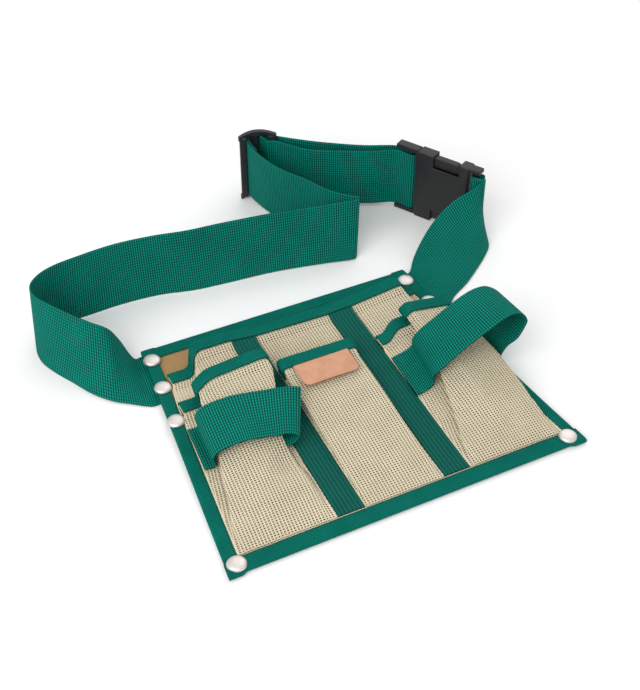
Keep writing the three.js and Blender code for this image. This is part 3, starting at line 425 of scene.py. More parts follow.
class Nodes:
    """A node tree with one method that adds any node."""

    def __init__(self, tree: bpy.types.NodeTree) -> None:
        """Keeps the tree."""
        self.tree = tree

    def node(
        self, kind: str, settings: dict[str, object] | None = None,
        inputs: dict[str | int, object] | None = None, output: str | int = 0,
    ) -> "Maths":
        """Adds any node.

        Args:
            kind: The node's type name.
            settings: Attributes set before its sockets.
            inputs: Values, or Maths to link, by socket name or number.
            output: Which output to return.

        Returns:
            The output as Maths.
        """
        node = self.tree.nodes.new(kind)
        for key, value in (settings or {}).items():
            setattr(node, key, value)
        for key, value in (inputs or {}).items():
            if isinstance(value, Maths):
                self.tree.links.new(value.socket, node.inputs[key])
            else:
                node.inputs[key].default_value = value
        return Maths(self.tree, node.outputs[output])


class Maths(Nodes):
    """A socket on which Python's operators add Math nodes."""

    def __init__(self, tree: bpy.types.NodeTree, socket: bpy.types.NodeSocket) -> None:
        """Wraps one output socket of a tree."""
        super().__init__(tree)
        self.socket = socket

    def apply(self, operation: str, *others: "Maths | float") -> "Maths":
        """Adds one Math node on this socket and the others."""
        inputs = dict(enumerate((self, *others)))
        return self.node("ShaderNodeMath", {"operation": operation}, inputs)

    def __add__(self, other: "Maths | float") -> "Maths":
        """Sum."""
        return self.apply("ADD", other)

    def __mul__(self, other: "Maths | float") -> "Maths":
        """Product."""
        return self.apply("MULTIPLY", other)

    def __sub__(self, other: "Maths | float") -> "Maths":
        """Difference."""
        return self.apply("SUBTRACT", other)

    def __rsub__(self, other: float) -> "Maths":
        """Difference from a number."""
        return self * -1.0 + other

    def __truediv__(self, other: "Maths | float") -> "Maths":
        """Quotient."""
        return self.apply("DIVIDE", other)

    def __pow__(self, exponent: float) -> "Maths":
        """Power."""
        return self.apply("POWER", exponent)

    def wave(self, half: float) -> "Maths":
        """Sine wave with zeros a distance half apart."""
        return (self * (math.pi / half)).apply("SINE")

    def ridges(self, pitch: float) -> "Maths":
        """Rounded ridges from 0 to 1, a pitch apart."""
        return self.wave(pitch).apply("ABSOLUTE")


class Shader(Nodes):
    """A material with one Principled shader and helpers for its nodes."""

    def __init__(self, name: str, **constants: object) -> None:
        """Starts a material with constants on its shader."""
        self.material = bpy.data.materials.new(name)
        self.material.use_nodes = True
        super().__init__(self.material.node_tree)
        self.base = self.tree.nodes["Principled BSDF"]
        self.keep(**constants)

    def keep(self, **constants: object) -> None:
        """Sets constants by socket name, with underscores for spaces."""
        for key, value in constants.items():
            self.base.inputs[key.replace("_", " ")].default_value = value

    def feed(self, socket: str, value: Maths) -> None:
        """Links a value to the shader."""
        self.tree.links.new(value.socket, self.base.inputs[socket])

    def cloth_place(self) -> tuple[Maths, Maths]:
        """Distances along and across the cloth, in millimetres, from the piece's own UV map."""
        uv = self.node("ShaderNodeUVMap", {"uv_map": "cloth"})
        u, v = (self.node("ShaderNodeSeparateXYZ", None, {0: uv}, axis) for axis in (0, 1))
        return u, v

    def place(self) -> Maths:
        """Object coordinates, in metres."""
        return self.node("ShaderNodeTexCoord", output="Object")

    def noise(self, scale: float, detail: float = 3.0) -> Maths:
        """Noise on Object coordinates, from 0 to 1."""
        values = {"Vector": self.place(), "Scale": scale, "Detail": detail, "Roughness": 0.55}
        return self.node("ShaderNodeTexNoise", None, values)

    def colour(self, tone: Maths, shade: Colour, light: Colour) -> None:
        """Feeds a colour between two, at a tone that the Mix node clamps to 0 and 1."""
        values = {"Factor": tone, 6: (*shade, 1.0), 7: (*light, 1.0)}
        self.feed("Base Color", self.node("ShaderNodeMix", {"data_type": "RGBA"}, values, 2))

    def emboss(self, height: Maths, distance: float, strength: float) -> None:
        """Feeds a bump from a height in units of distance metres."""
        values = {"Height": height, "Distance": distance, "Strength": strength}
        self.feed("Normal", self.node("ShaderNodeBump", None, values, "Normal"))


@dataclass(frozen=True)
class Finish:
    """A finish between two colours; each kind gives its own pattern."""

    name: str
    light: Colour
    shade: Colour
    roughness: float
    specular: float
    relief: tuple[float, float]

    def pattern(self, s: Shader) -> tuple[Maths, Maths]:
        """Tone from shade to light, and height: here a fine twist, as of sewing thread."""
        twist = s.noise(2200.0, 2.0)
        return twist, twist

    def make(self) -> Material:
        """Builds the material."""
        s = Shader(self.name, Roughness=self.roughness, Specular_IOR_Level=self.specular)
        tone, height = self.pattern(s)
        s.colour(tone, self.shade, self.light)
        s.emboss(height, *self.relief)
        return s.material


@dataclass(frozen=True)
class Knotted(Finish):
    """Woven webbing: raised squares in rows, with painted shade darkening the gaps between them.
    """

    def pattern(self, s: Shader) -> tuple[Maths, Maths]:
        """One square for each knot of the strap's own mesh."""
        u, v = s.cloth_place()
        knots = u.ridges(KNOT_PITCH) * (v.ridges(KNOT_ACROSS) * 0.6 + 0.4)
        thread = (u.wave(KNOT_PITCH / 4) + v.wave(KNOT_ACROSS / 4)) * 0.12
        # The tone is painted shade, darker in the gaps between knots; the noise adds random tone.
        tone = knots * 1.2 + s.noise(38.0) * 0.3 - 0.24
        return tone, knots + thread + s.noise(900.0, 2.0) * 0.35


@dataclass(frozen=True)
class Twill(Finish):
    """Binding tape: fine slanted ribs."""

    pitch: float = 1.6

    def pattern(self, s: Shader) -> tuple[Maths, Maths]:
        """Strong ribs one way and weak ones the other."""
        u, v = s.cloth_place()
        ribs, cross = ((u + v * slant).wave(self.pitch / 2) * 0.5 + 0.5 for slant in (0.9, -0.9))
        height = ribs * 0.8 + cross * 0.25
        # The tone follows the ribs' height: painted shade in the grooves, plus random tone from
        # noise.
        return height * 0.85 + s.noise(55.0) * 0.5 - 0.12, height + s.noise(1100.0, 2.0) * 0.3


@dataclass(frozen=True)
class Ribbed(Finish):
    """Ribbed strip: ribs along its length, which are also in its mesh."""

    pitch: float = 1.1

    def pattern(self, s: Shader) -> tuple[Maths, Maths]:
        """Ribs along and threads across."""
        u, v = s.cloth_place()
        cross = u.ridges(self.pitch)
        ribs = v.ridges(STRIP_WIDTH / STRIP_RIBS)
        # The tone is painted shade in the grooves between ribs and threads, plus random tone from
        # noise.
        tone = cross * 0.35 + ribs * 0.55 + s.noise(60.0) * 0.2
        return tone, cross + s.noise(900.0, 2.0) * 0.4


@dataclass(frozen=True)
class Coated(Finish):
    """Coated threads of the open mesh."""

    def pattern(self, s: Shader) -> tuple[Maths, Maths]:
        """Fibres and soft clouds."""
        fibre = s.noise(1500.0)
        return s.noise(45.0) * 0.6 + fibre * 0.6 - 0.1, fibre


@dataclass(frozen=True)
class Plain(Finish):
    """Plain-woven cloth."""

    pitch: float = 0.9

    def pattern(self, s: Shader) -> tuple[Maths, Maths]:
        """Threads both ways."""
        u, v = s.cloth_place()
        weave = u.ridges(self.pitch) * v.ridges(self.pitch)
        # The tone is painted shade between the threads, plus random tone from noise.
        return weave * 0.6 + s.noise(50.0) * 0.6 - 0.1, weave + s.noise(900.0, 2.0) * 0.5


@dataclass(frozen=True)
class Leather(Finish):
    """Natural leather with pores, and painted shade as a darker tone in its low places."""

    def pattern(self, s: Shader) -> tuple[Maths, Maths]:
        """Pores and clouds, which also vary the roughness."""
        s.keep(Coat_Weight=0.08, Coat_Roughness=0.4)
        values = {"Vector": s.place(), "Scale": 1300.0}
        cells = s.node("ShaderNodeTexVoronoi", {"feature": "DISTANCE_TO_EDGE"}, values, "Distance")
        pores = (cells * 3.0).apply("MINIMUM", 1.0)
        cloud = s.noise(120.0, 4.0)
        s.feed("Roughness", self.roughness - cloud * 0.2)
        # The tone is painted shade in the pores, plus random clouds of tone.
        return cloud * 0.9 + pores * 0.3 - 0.2, pores * 0.6 + s.noise(320.0) * 0.8


@dataclass(frozen=True)
class Moulded(Finish):
    """Fine-textured moulded plastic."""

    def pattern(self, s: Shader) -> tuple[Maths, Maths]:
        """Grain and clouds, which also vary the roughness."""
        cloud = s.noise(70.0)
        s.feed("Roughness", cloud * 0.14 + self.roughness)
        return cloud, s.noise(2600.0, 2.0) + cloud * 0.4


@dataclass(frozen=True)
class Nickel:
    """Polished nickel with faint marks."""

    name: str = "rivet_nickel"
    colour: Colour = (0.76, 0.70, 0.675)

    def make(self) -> Material:
        """Builds the material."""
        s = Shader(self.name, Metallic=0.85, Base_Color=(*self.colour, 1.0))
        s.feed("Roughness", s.noise(420.0, 4.0) * 0.16 + 0.42)
        s.emboss(s.noise(150.0, 2.0), 0.00005, 0.4)
        return s.material


@dataclass
class Finishes:
    """One material of each finish."""

    webbing: Material = field(default_factory=Knotted(
        "green_webbing", (0.002, 0.262, 0.194), (0.0, 0.022, 0.019), 0.72, 0.08,
        (0.00045, 0.8)).make)
    binding: Material = field(default_factory=Twill(
        "green_binding", (0.001, 0.200, 0.150), (0.0, 0.050, 0.040), 0.75, 0.06,
        (0.0005, 0.9)).make)
    strip: Material = field(default_factory=Ribbed(
        "green_strip", (0.002, 0.118, 0.090), (0.0, 0.018, 0.015), 0.7, 0.12,
        (0.0002, 0.7)).make)
    mesh: Material = field(default_factory=Coated(
        "cream_mesh", (0.775, 0.71, 0.54), (0.53, 0.45, 0.30), 0.6, 0.25, (0.00015, 0.6)).make)
    lining: Material = field(default_factory=Plain(
        "tan_cloth", (0.46, 0.29, 0.13), (0.27, 0.16, 0.065), 0.85, 0.15, (0.0002, 0.7)).make)
    leather: Material = field(default_factory=Leather(
        "label_leather", (0.70, 0.37, 0.225), (0.47, 0.215, 0.115), 0.62, 0.45,
        (0.00018, 0.7)).make)
    nickel: Material = field(default_factory=Nickel().make)
    plastic: Material = field(default_factory=Moulded(
        "black_plastic", (0.017, 0.017, 0.019), (0.008, 0.008, 0.009), 0.40, 0.4,
        (0.00006, 0.6)).make)
    thread: Material = field(default_factory=Finish(
        "green_thread", (0.003, 0.15, 0.10), (0.0018, 0.09, 0.06), 0.6, 0.35,
        (0.0001, 0.5)).make)


class NodeShape(Nodes):
    """A Geometry Nodes tree that a modifier runs once, leaving a plain mesh."""

    def __init__(self, name: str) -> None:
        """Starts a tree with a geometry input and output."""
        super().__init__(bpy.data.node_groups.new(name, "GeometryNodeTree"))
        for way in ("INPUT", "OUTPUT"):
            self.tree.interface.new_socket(
                "Geometry", in_out=way, socket_type="NodeSocketGeometry")
        self.source = self.tree.nodes.new("NodeGroupInput")
        self.result = self.tree.nodes.new("NodeGroupOutput")
        self.values: dict[str, object] = {}

    def geometry(self) -> Maths:
        """The seed's geometry."""
        return Maths(self.tree, self.source.outputs["Geometry"])

    def value(self, name: str, value: object, kind: str = "Float") -> Maths:
        """Adds a named input with its value and returns it."""
        socket = self.tree.interface.new_socket(
            name, in_out="INPUT", socket_type="NodeSocket" + kind)
        self.values[socket.identifier] = value
        return Maths(self.tree, self.source.outputs[name])

    def finish(self, geometry: Maths, material: Material) -> None:
        """Ends the tree in realized instances with their finish."""
        finish = self.value("Finish", material, "Material")
        real = self.node("GeometryNodeRealizeInstances", None, {"Geometry": geometry})
        inputs = {"Geometry": real, "Material": finish}
        dressed = self.node("GeometryNodeSetMaterial", None, inputs)
        self.tree.links.new(dressed.socket, self.result.inputs[0])

    def run(self, name: str, seed: Piece) -> Piece:
        """Runs the tree on a seed object.

        Args:
            name: The new piece's name.
            seed: The object whose mesh the tree reads; it is removed.

        Returns:
            A plain mesh object.
        """
        modifier = seed.modifiers.new("shape", "NODES")
        modifier.node_group = self.tree
        for identifier, value in self.values.items():
            modifier[identifier] = value
        graph = bpy.context.evaluated_depsgraph_get()
        mesh = bpy.data.meshes.new_from_object(seed.evaluated_get(graph))
        mesh.name = name
        mesh.polygons.foreach_set("use_smooth", [True] * len(mesh.polygons))
        bpy.data.objects.remove(seed)
        return add_object(name, mesh)


@dataclass
class Stitching:
    """Rows of stitches along lines of points."""

    material: Material
    pitch: float = 3.2
    length: float = 2.4
    radius: float = 0.32
    lines: list[Array] = field(default_factory=list)

    def tree(self) -> NodeShape:
        """Builds the tree: one short thread at each step along the seams."""
        shape = NodeShape("stitch_rows")
        pitch = shape.value("Pitch", self.pitch / 1000)
        length = shape.value("Stitch length", self.length / 1000)
        radius = shape.value("Thread radius", self.radius / 1000)
        curves = shape.node("GeometryNodeMeshToCurve", None, {"Mesh": shape.geometry()})
        even = shape.node(
            "GeometryNodeResampleCurve", {"mode": "LENGTH"}, {"Curve": curves, "Length": pitch})
        tangent = shape.node("GeometryNodeInputTangent")
        turn = shape.node("FunctionNodeAlignRotationToVector", {"axis": "Z"}, {"Vector": tangent})
        ball = {"Segments": 6, "Rings": 5, "Radius": 1.0}
        thread = shape.node("GeometryNodeMeshUVSphere", None, ball)
        scale = shape.node("ShaderNodeCombineXYZ", None, {0: radius, 1: radius, 2: length * 0.5})
        stitches = shape.node("GeometryNodeInstanceOnPoints", None, {
            "Points": even, "Instance": thread, "Rotation": turn, "Scale": scale})
        shape.finish(stitches, self.material)
        return shape

    def build(self, name: str) -> Piece:
        """Builds all seams as one piece."""
        points, edges = [], []
        for line in self.lines:
            start = len(points)
            points.extend(metres(line))
            edges.extend([start + k, start + k + 1] for k in range(len(line) - 1))
        return self.tree().run(name, add_mesh(name + "_lines", points, edges))


@dataclass
class Rivets:
    """Eight domed rivet caps in nickel."""

    material: Material
    radius: float = 6.3
    height: float = 2.2
    sides: int = 40
    steps: int = 9
    flatness: float = 2.6
    fullness: float = 0.55
    names: tuple[str, ...] = tuple(
        f"rivet_{side}_{place}" for side in ("left", "right")
        for place in ("top", "middle", "low", "corner"))

    def tree(self) -> NodeShape:
        """Builds the tree: a cone bent into a dome, on each point."""
        shape = NodeShape("rivet_caps")
        radius = shape.value("Cap radius", self.radius / 1000)
        height = shape.value("Cap height", self.height / 1000)
        cone = shape.node("GeometryNodeMeshCone", {"fill_type": "NGON"}, {
            "Vertices": self.sides, "Side Segments": self.steps, "Radius Top": 0.0,
            "Radius Bottom": radius, "Depth": height})
        place = shape.node("GeometryNodeInputPosition")
        x, y = (shape.node("ShaderNodeSeparateXYZ", None, {0: place}, axis) for axis in (0, 1))
        flat = shape.node("ShaderNodeCombineXYZ", None, {0: x, 1: y})
        reach = shape.node("ShaderNodeVectorMath", {"operation": "LENGTH"}, {0: flat}, "Value")
        fall = (1.0 - (reach / radius) ** self.flatness).apply("MAXIMUM", 0.0)
        top = fall ** self.fullness * height
        moved = shape.node("ShaderNodeCombineXYZ", None, {0: x, 1: y, 2: top})
        inputs = {"Geometry": cone, "Position": moved}
        cap = shape.node("GeometryNodeSetPosition", None, inputs)
        caps = shape.node(
            "GeometryNodeInstanceOnPoints", None, {"Points": shape.geometry(), "Instance": cap})
        shape.finish(caps, self.material)
        return shape

    def build(self) -> None:
        """Builds the caps where the CAD rivets are."""
        seats = []
        for low, high in map(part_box, self.names):
            middle = (low + high) / 2
            seats.append((middle.x, middle.y, high.z - self.height / 1000))
        caps = self.tree().run("rivet_caps", add_mesh("rivet_seats", seats))
        register(caps, Slot.NICKEL, *self.names)


@dataclass
class Panel:
    """The flat panel and its four edge tapes."""

    finishes: Finishes
    stitches: Stitching
    bottom_tabs: tuple[float, float] = (1.7, 1.4)
    top_tabs: tuple[float, float] = (0.8, 1.2)
    tab_slope: float = 1.6
    ripple: float = 0.12
    row_step: float = 1.6
    end_rows: int = 180
    cloth_grid: tuple[int, int] = (80, 90)
    seam_end: float = 4.0

    def build(self) -> None:
        """Builds the panel's cloth and tapes."""
        self._cloth()
        self._side(-1, "binding_left")
        self._side(1, "binding_right")
        self._end(0.0, 1, "binding_bottom", self.bottom_tabs)
        self._end(PANEL_HEIGHT, -1, "binding_top", self.top_tabs)

    def _cloth(self) -> None:
        """Tan cloth between the tapes."""
        rows, columns = self.cloth_grid
        ys = np.linspace(PANEL_FLOOR, PANEL_HEIGHT - PANEL_FLOOR, rows)
        y, share = np.meshgrid(ys, np.linspace(-1, 1, columns), indexing="ij")
        x = share * (half_width(y) - PANEL_FLOOR)
        wave = self.ripple * np.abs(np.sin(x * 0.11) * np.sin(y * 0.09))
        z = PANEL_FACE + lift(y) - np.where(np.abs(share) < 0.9, wave, 0)
        top = np.stack([x, y, z], -1)[:, ::-1]
        piece = MeshMaker.slab(
            "panel_cloth", top, top - [0, 0, CLOTH_WALL], top[..., :2], self.finishes.lining)
        register(piece, Slot.TAN, "back_panel")

    @staticmethod
    def _outline(width: float) -> Array:
        """U section of a folded tape of a width: depth in from the edge, height."""
        top, wall, mid = TAPE_TOP, TAPE_WALL * 0.95, TAPE_TOP / 2
        turn = [(math.cos(a), math.sin(a)) for a in np.linspace(-math.pi / 2, math.pi / 2, 9)]
        outside = [(mid - mid * c, mid + mid * s) for c, s in turn]
        inside = [(mid - (mid - wall) * c, mid + (mid - wall) * s) for c, s in reversed(turn)]
        upper = [(d, top + 0.12 * math.sin(math.pi * (d - mid) / (width - mid)))
                 for d in np.linspace(mid + 1, width - 0.5, 7)]
        lower = [(d, 0.0) for d in np.linspace(width - 0.5, mid + 1, 4)]
        return np.array([
            *lower, *outside, *upper, (width, top - 0.3), (width, top - wall),
            (mid + 2, top - wall), *inside, (mid + 2, wall), (width, wall), (width, 0.3)])

    @staticmethod
    def _puckered(outline: Array, s: float, offset: float, scale: float = 1.0) -> Array:
        """Heights of a tape's outline with small ups and downs between its stitches."""
        depth, height = outline.T
        soft = 0.10 * math.sin(s * 1.96 + offset) + 0.08 * math.sin(s * 0.31 + offset * 2)
        return height + np.where((height > TAPE_TOP / 2) & (depth > 3), soft * scale, 0)

    def _side(self, side: int, name: str) -> None:
        """Tape on the left or right edge."""
        outline = self._outline(SIDE_TAPE)
        ys = np.arange(FIRST_ROW, PANEL_HEIGHT - FIRST_ROW + 0.01, self.row_step)
        rows = []
        for y in ys:
            x = side * (half_width(y) - outline[:, 0])
            heights = self._puckered(outline, y, side) + lift(y)
            seam = (side * (half_width(y) - SIDE_TAPE + SEAM_INSET), y, lift(y))
            rows.append((x, np.full(len(x), y), heights, np.full(len(x), y), seam))
        self._tape(name, SIDE_TAPE, outline, rows, ys[-1] - ys[0])

    def _end(self, edge: float, inward: int, name: str, tabs: tuple[float, float]) -> None:
        """Tape on the lower or upper edge, with the side tapes' cut ends as tabs.

        Args:
            edge: The edge's y.
            inward: 1 where the panel lies above the edge, else -1.
            name: The CAD node.
            tabs: How far the left and right tabs stick out.
        """
        outline = self._outline(END_TAPE)
        seam_y = edge + inward * (END_TAPE - SEAM_INSET)
        rows = []
        for share in np.linspace(-1, 1, self.end_rows):
            reach = half_width(edge) * (1 - abs(share))
            tab = tabs[int(share > 0)] * (1 - smooth(reach, SIDE_TAPE, SIDE_TAPE + self.tab_slope))
            y = edge + inward * (outline[:, 0] - np.where(outline[:, 0] < TAPE_TOP, tab, 0))
            x = share * half_width(y)
            heights = self._puckered(outline, x[0], inward, abs(share) < 0.985) + lift(edge)
            seam = (share * (half_width(seam_y) - self.seam_end), seam_y, lift(edge))
            rows.append((x, y, heights, x, seam))
        self._tape(name, END_TAPE, outline, rows, 2 * half_width(edge))

    def _tape(self, name: str, width: float, outline: Array, rows: list, length: float) -> None:
        """Makes one edge tape and its seam.

        Args:
            name: The CAD node.
            width: The tape's visible width.
            outline: The tape's section.
            rows: x, y, height and place along of each ring's points, and a seam point.
            length: The tape's length.
        """
        rings = np.array([np.stack(row[:3], 1) for row in rows])
        uv = np.array([np.stack([row[3], arc(outline)], 1) for row in rows])
        piece = MeshMaker.sweep(name + "_tape", rings, uv, self.finishes.binding)
        register(piece, Slot.BINDING, name)
        flat = ((2 * width + TAPE_TURN) / 1000, length / 1000)
        self.stitches.lines.append(
            np.array([row[4] for row in rows]) + [0, 0, TAPE_TOP + SEAM_RISE])


@dataclass
class OpenMesh:
    """Open mesh cloth of crossing threads that follow a pocket's sections."""

    pitch: float = 2.15
    row_pitch: float = 1.68
    half_warp: float = 0.66
    half_weft: float = 0.52
    half_thick: float = 0.30
    wave: float = 0.16
    warp_lift: float = 0.06
    depth: float = 0.6
    rim_share: float = 0.6
    end_gaps: tuple[float, float] = (0.3, 1.0)
    look_ahead: float = 0.5
    reach: int = 80

    def build(self, pocket: "Pocket") -> Piece:
        """Builds the mesh cloth of a pocket as one object of crossing threads."""
        first, last = FIRST_ROW + self.end_gaps[0], pocket.mouth - self.end_gaps[1]
        ys = np.linspace(first, last, round((last - first) / self.row_pitch) + 1)
        ks = np.arange(-self.reach, self.reach + 1)
        rim = self.half_warp * self.rim_share
        centres, tangents, valid = [], [], []
        for y in ys:
            line, anchor = pocket.section(y), pocket.anchor(y)
            s = arc(line)
            if np.all(np.diff(line[:, 0]) > 0):
                middle = np.interp(anchor, line[:, 0], s)
            else:
                middle = s[np.argmin(np.abs(line[:, 0] - anchor))]
            places = middle + ks * self.pitch
            valid.append((places > rim - self.pitch) & (places < s[-1] - rim + self.pitch))
            places = np.clip(places, rim, s[-1] - rim)
            ahead, behind = (along(line, np.clip(places + side * self.look_ahead, 0, s[-1]))
                             for side in (1, -1))
            level = np.full(len(ks), y)
            centres.append(np.insert(along(line, places), 1, level, axis=1))
            tangents.append(np.insert(unit(ahead - behind), 1, 0.0, axis=1))
        centres = pocket.shape(np.array(centres))
        tangents, valid = np.array(tangents), np.array(valid)
        upward = np.gradient(centres, axis=0)
        normals = unit(np.cross(tangents, unit(upward)))
        centres = centres - normals * self.depth
        waves = (-1.0) ** np.add.outer(np.arange(len(ys)), ks) * self.wave + self.warp_lift
        across = (centres, tangents * self.half_warp, normals, waves, valid)
        warp = zip(*(np.moveaxis(part, 1, 0) for part in across))
        weft = zip(centres, unit(upward) * self.half_weft, normals, -waves, valid)
        points, faces, total = [], [], 0
        for middle, wide, normal, wave, shown in (*warp, *weft):
            places = np.flatnonzero(shown)
            for run in np.split(places, np.flatnonzero(np.diff(places) > 1) + 1):
                if len(run) < 2:
                    continue
                centre = middle[run] + normal[run] * wave[run][:, None]
                w, n = wide[run], normal[run] * self.half_thick
                ring = np.stack([centre - w, centre - n, centre + w, centre + n], 1)
                points.append(ring.reshape(-1, 3))
                start, end = total + np.arange(3, -1, -1), total + len(run) * 4 - 4 + np.arange(4)
                faces.append(MeshMaker.grid_faces(len(run), 4, total, close=True))
                faces.append(np.array([start, end]))
                total += len(run) * 4
        name = pocket.name + "_mesh"
        points, faces = np.concatenate(points), np.concatenate(faces)
        return MeshMaker.build(name, points, faces, pocket.finishes.mesh)


@dataclass
class Pocket:
    """One mesh pocket: its sections up the panel, its mesh and its mouth tape."""

    name: str
    mouth: float
    line: Callable[[float, float, float], Array]
    anchor: Callable[[float], float]
    finishes: Finishes
    stitches: Stitching
    sag: tuple[float, float, float] = (0.0, -1.0, 0.0)
    dent: tuple[float, float, float] = (0.0, 0.0, 0.0)
    dent_size: tuple[float, float] = (9.0, 13.0)
    dent_slant: float = 0.5
    sag_reach: tuple[float, float] = (50.0, 5.0)
    fold: float = 1.3
    ring_step: float = 1.5
    seam_inset: float = 1.6

    def shape(self, points: Array) -> Array:
        """Lets the mouth's left end sag, and presses the dent in.

        Args:
            points: (..., 3) points of the pocket in millimetres.

        Returns:
            The moved points.
        """
        drop, full, none = self.sag
        x, y = points[..., 0], points[..., 1]
        near = smooth(y, *(self.mouth - below for below in self.sag_reach))
        moved = points.copy()
        moved[..., 1] -= drop * (1 - smooth(x, full, none)) * near
        depth, at_x, at_y = self.dent
        wide, tall = self.dent_size
        right, up = x - at_x, y - at_y
        away = (right / wide) ** 2 + ((up - right * self.dent_slant) / tall) ** 2
        moved[..., 2] -= depth * np.exp(-away)
        return moved

    def section(self, y: float) -> Array:
        """The outer line at y, rising to the mouth tape's seat near the mouth."""
        start, end = taper_start(self.mouth), taper_end(self.mouth)
        if y <= start:
            up = (y - FIRST_ROW) / (start - FIRST_ROW)
            return round_corners(self.line(up, y, 0.0), self.fold)
        low, high = self.line(1.0, start, 0.0), self.line(1.0, self.mouth + MOUTH_RAISE, 1.0)
        return round_corners(lerp(low, high, min((y - start) / (end - start), 1.0)), self.fold)

    def build(self, weave: OpenMesh) -> None:
        """Builds the pocket's mesh and its mouth tape."""
        cloth = weave.build(self)
        register(cloth, Slot.MESH, self.name)
        wide = max(arc(self.section(y))[-1] for y in (FIRST_ROW, self.mouth))
        flat = (wide / 1000, (self.mouth - FIRST_ROW) / 1000)
        self._tape()

    def _tape(self) -> None:
        """Tape folded over the mouth."""
        line = self.section(self.mouth)
        length = arc(line)[-1]
        even = along(line, np.linspace(0, length, max(int(length / self.ring_step), 8)))
        direction = unit(np.gradient(even, axis=0))
        normal = np.stack([-direction[:, 1], direction[:, 0]], 1)
        out, low, high = MOUTH_RAISE, self.mouth - MOUTH_TAPE, self.mouth + MOUTH_RAISE
        under, wall = -MESH_WALL - out, TAPE_WALL * 0.9
        mid, radius = (out + under) / 2, (out - under) / 2
        turn = np.linspace(math.pi / 2, -math.pi / 2, 9)

        def bend(size: float, angles: Array) -> list[tuple[float, float]]:
            """Half circle over the mouth."""
            return [(mid + size * math.sin(a), high - radius + size * math.cos(a)) for a in angles]

        crown = [(out + 0.1 * math.sin(math.pi * t), lerp(low + 0.3, high - radius, t))
                 for t in np.linspace(0, 0.95, 6)]
        profile = np.array([
            *crown, *bend(radius, turn), (under, low), (under + wall, low),
            *bend(radius - wall, turn[::-1]), (out - wall, low), (out - 0.3, low)])
        s = arc(even)
        soft = 0.10 * np.sin(s * 1.9) + 0.07 * np.sin(s * 0.37)
        depth = profile[:, 0] + np.where(profile[:, 0] > mid, soft[:, None], 0)
        x, z = (even[:, k, None] + normal[:, k, None] * depth for k in (0, 1))
        rings = self.shape(np.stack(np.broadcast_arrays(x, profile[:, 1], z), -1))
        uv = np.stack(np.broadcast_arrays(s[:, None], arc(profile)), -1)
        piece = MeshMaker.sweep(self.name + "_tape", rings, uv, self.finishes.binding)
        register(piece, Slot.BINDING, self.name + "_binding")
        seam = np.insert(even + normal * (out + SEAM_RISE), 1, low + self.seam_inset, axis=1)
        self.stitches.lines.append(self.shape(seam[2:-2]))


def back_line(_up: float, y: float, at_mouth: float) -> Array:
    """Corners of the back pocket's section line at y; at_mouth is 1 on its mouth tape."""
    shares = [row[0] * half_width(y) for row in BACK_SECTION]
    x = np.array([-inner_edge(y), *shares, inner_edge(y)])
    return np.stack([x, back_height(x, y) + at_mouth * MOUTH_RAISE], 1)


@dataclass
class FrontLine:
    """Section line of a front pocket, which stands on the back pocket.

    The left fold hangs over its foot by tuck, a share of the width.
    """

    table: Rows
    left: Callable[[float], float]
    right: Callable[[float], float]
    rise: float
    tuck: float

    def middle(self, y: float) -> float:
        """x half-way between the pocket's edges."""
        return lerp(self.left(y), self.right(y), 0.5)

    def __call__(self, up: float, y: float, at_mouth: float) -> Array:
        """Finds the line's corners.

        Args:
            up: Share of the way up the pocket.
            y: Height up the panel.
            at_mouth: 1 on the mouth tape, else 0.

        Returns:
            Seven (x, z) corners from the left edge to the right.
        """
        up = min(max(up, 0.0), 1.0)
        ups, *columns = zip(*self.table)
        fold_l, fold_r, *tall = (float(np.interp(up, ups, column)) for column in columns)
        slant = 0.05 * (1 - up)
        foot_l = max(fold_l - slant + self.tuck * min(up * 3, 1.0), 0.02)
        foot_r = 0.95 if fold_r > 1 else min(fold_r + slant + 0.01, 0.98)
        shares = np.array([0, foot_l, fold_l, 0.5, fold_r, foot_r, 1])
        heights = np.array([0, 0, *tall, 0, 0])
        x0, x1 = self.left(y), self.right(y)
        held = np.clip(shares, 0, 1)
        seats = back_height(lerp(x0, x1, held), y) + CLEAR + MESH_WALL + at_mouth * MOUTH_RAISE
        tops = lerp(seats[0], seats[-1], held) + self.rise * heights
        return np.stack([lerp(x0, x1, shares), np.where(heights > 0, tops, seats)], 1)


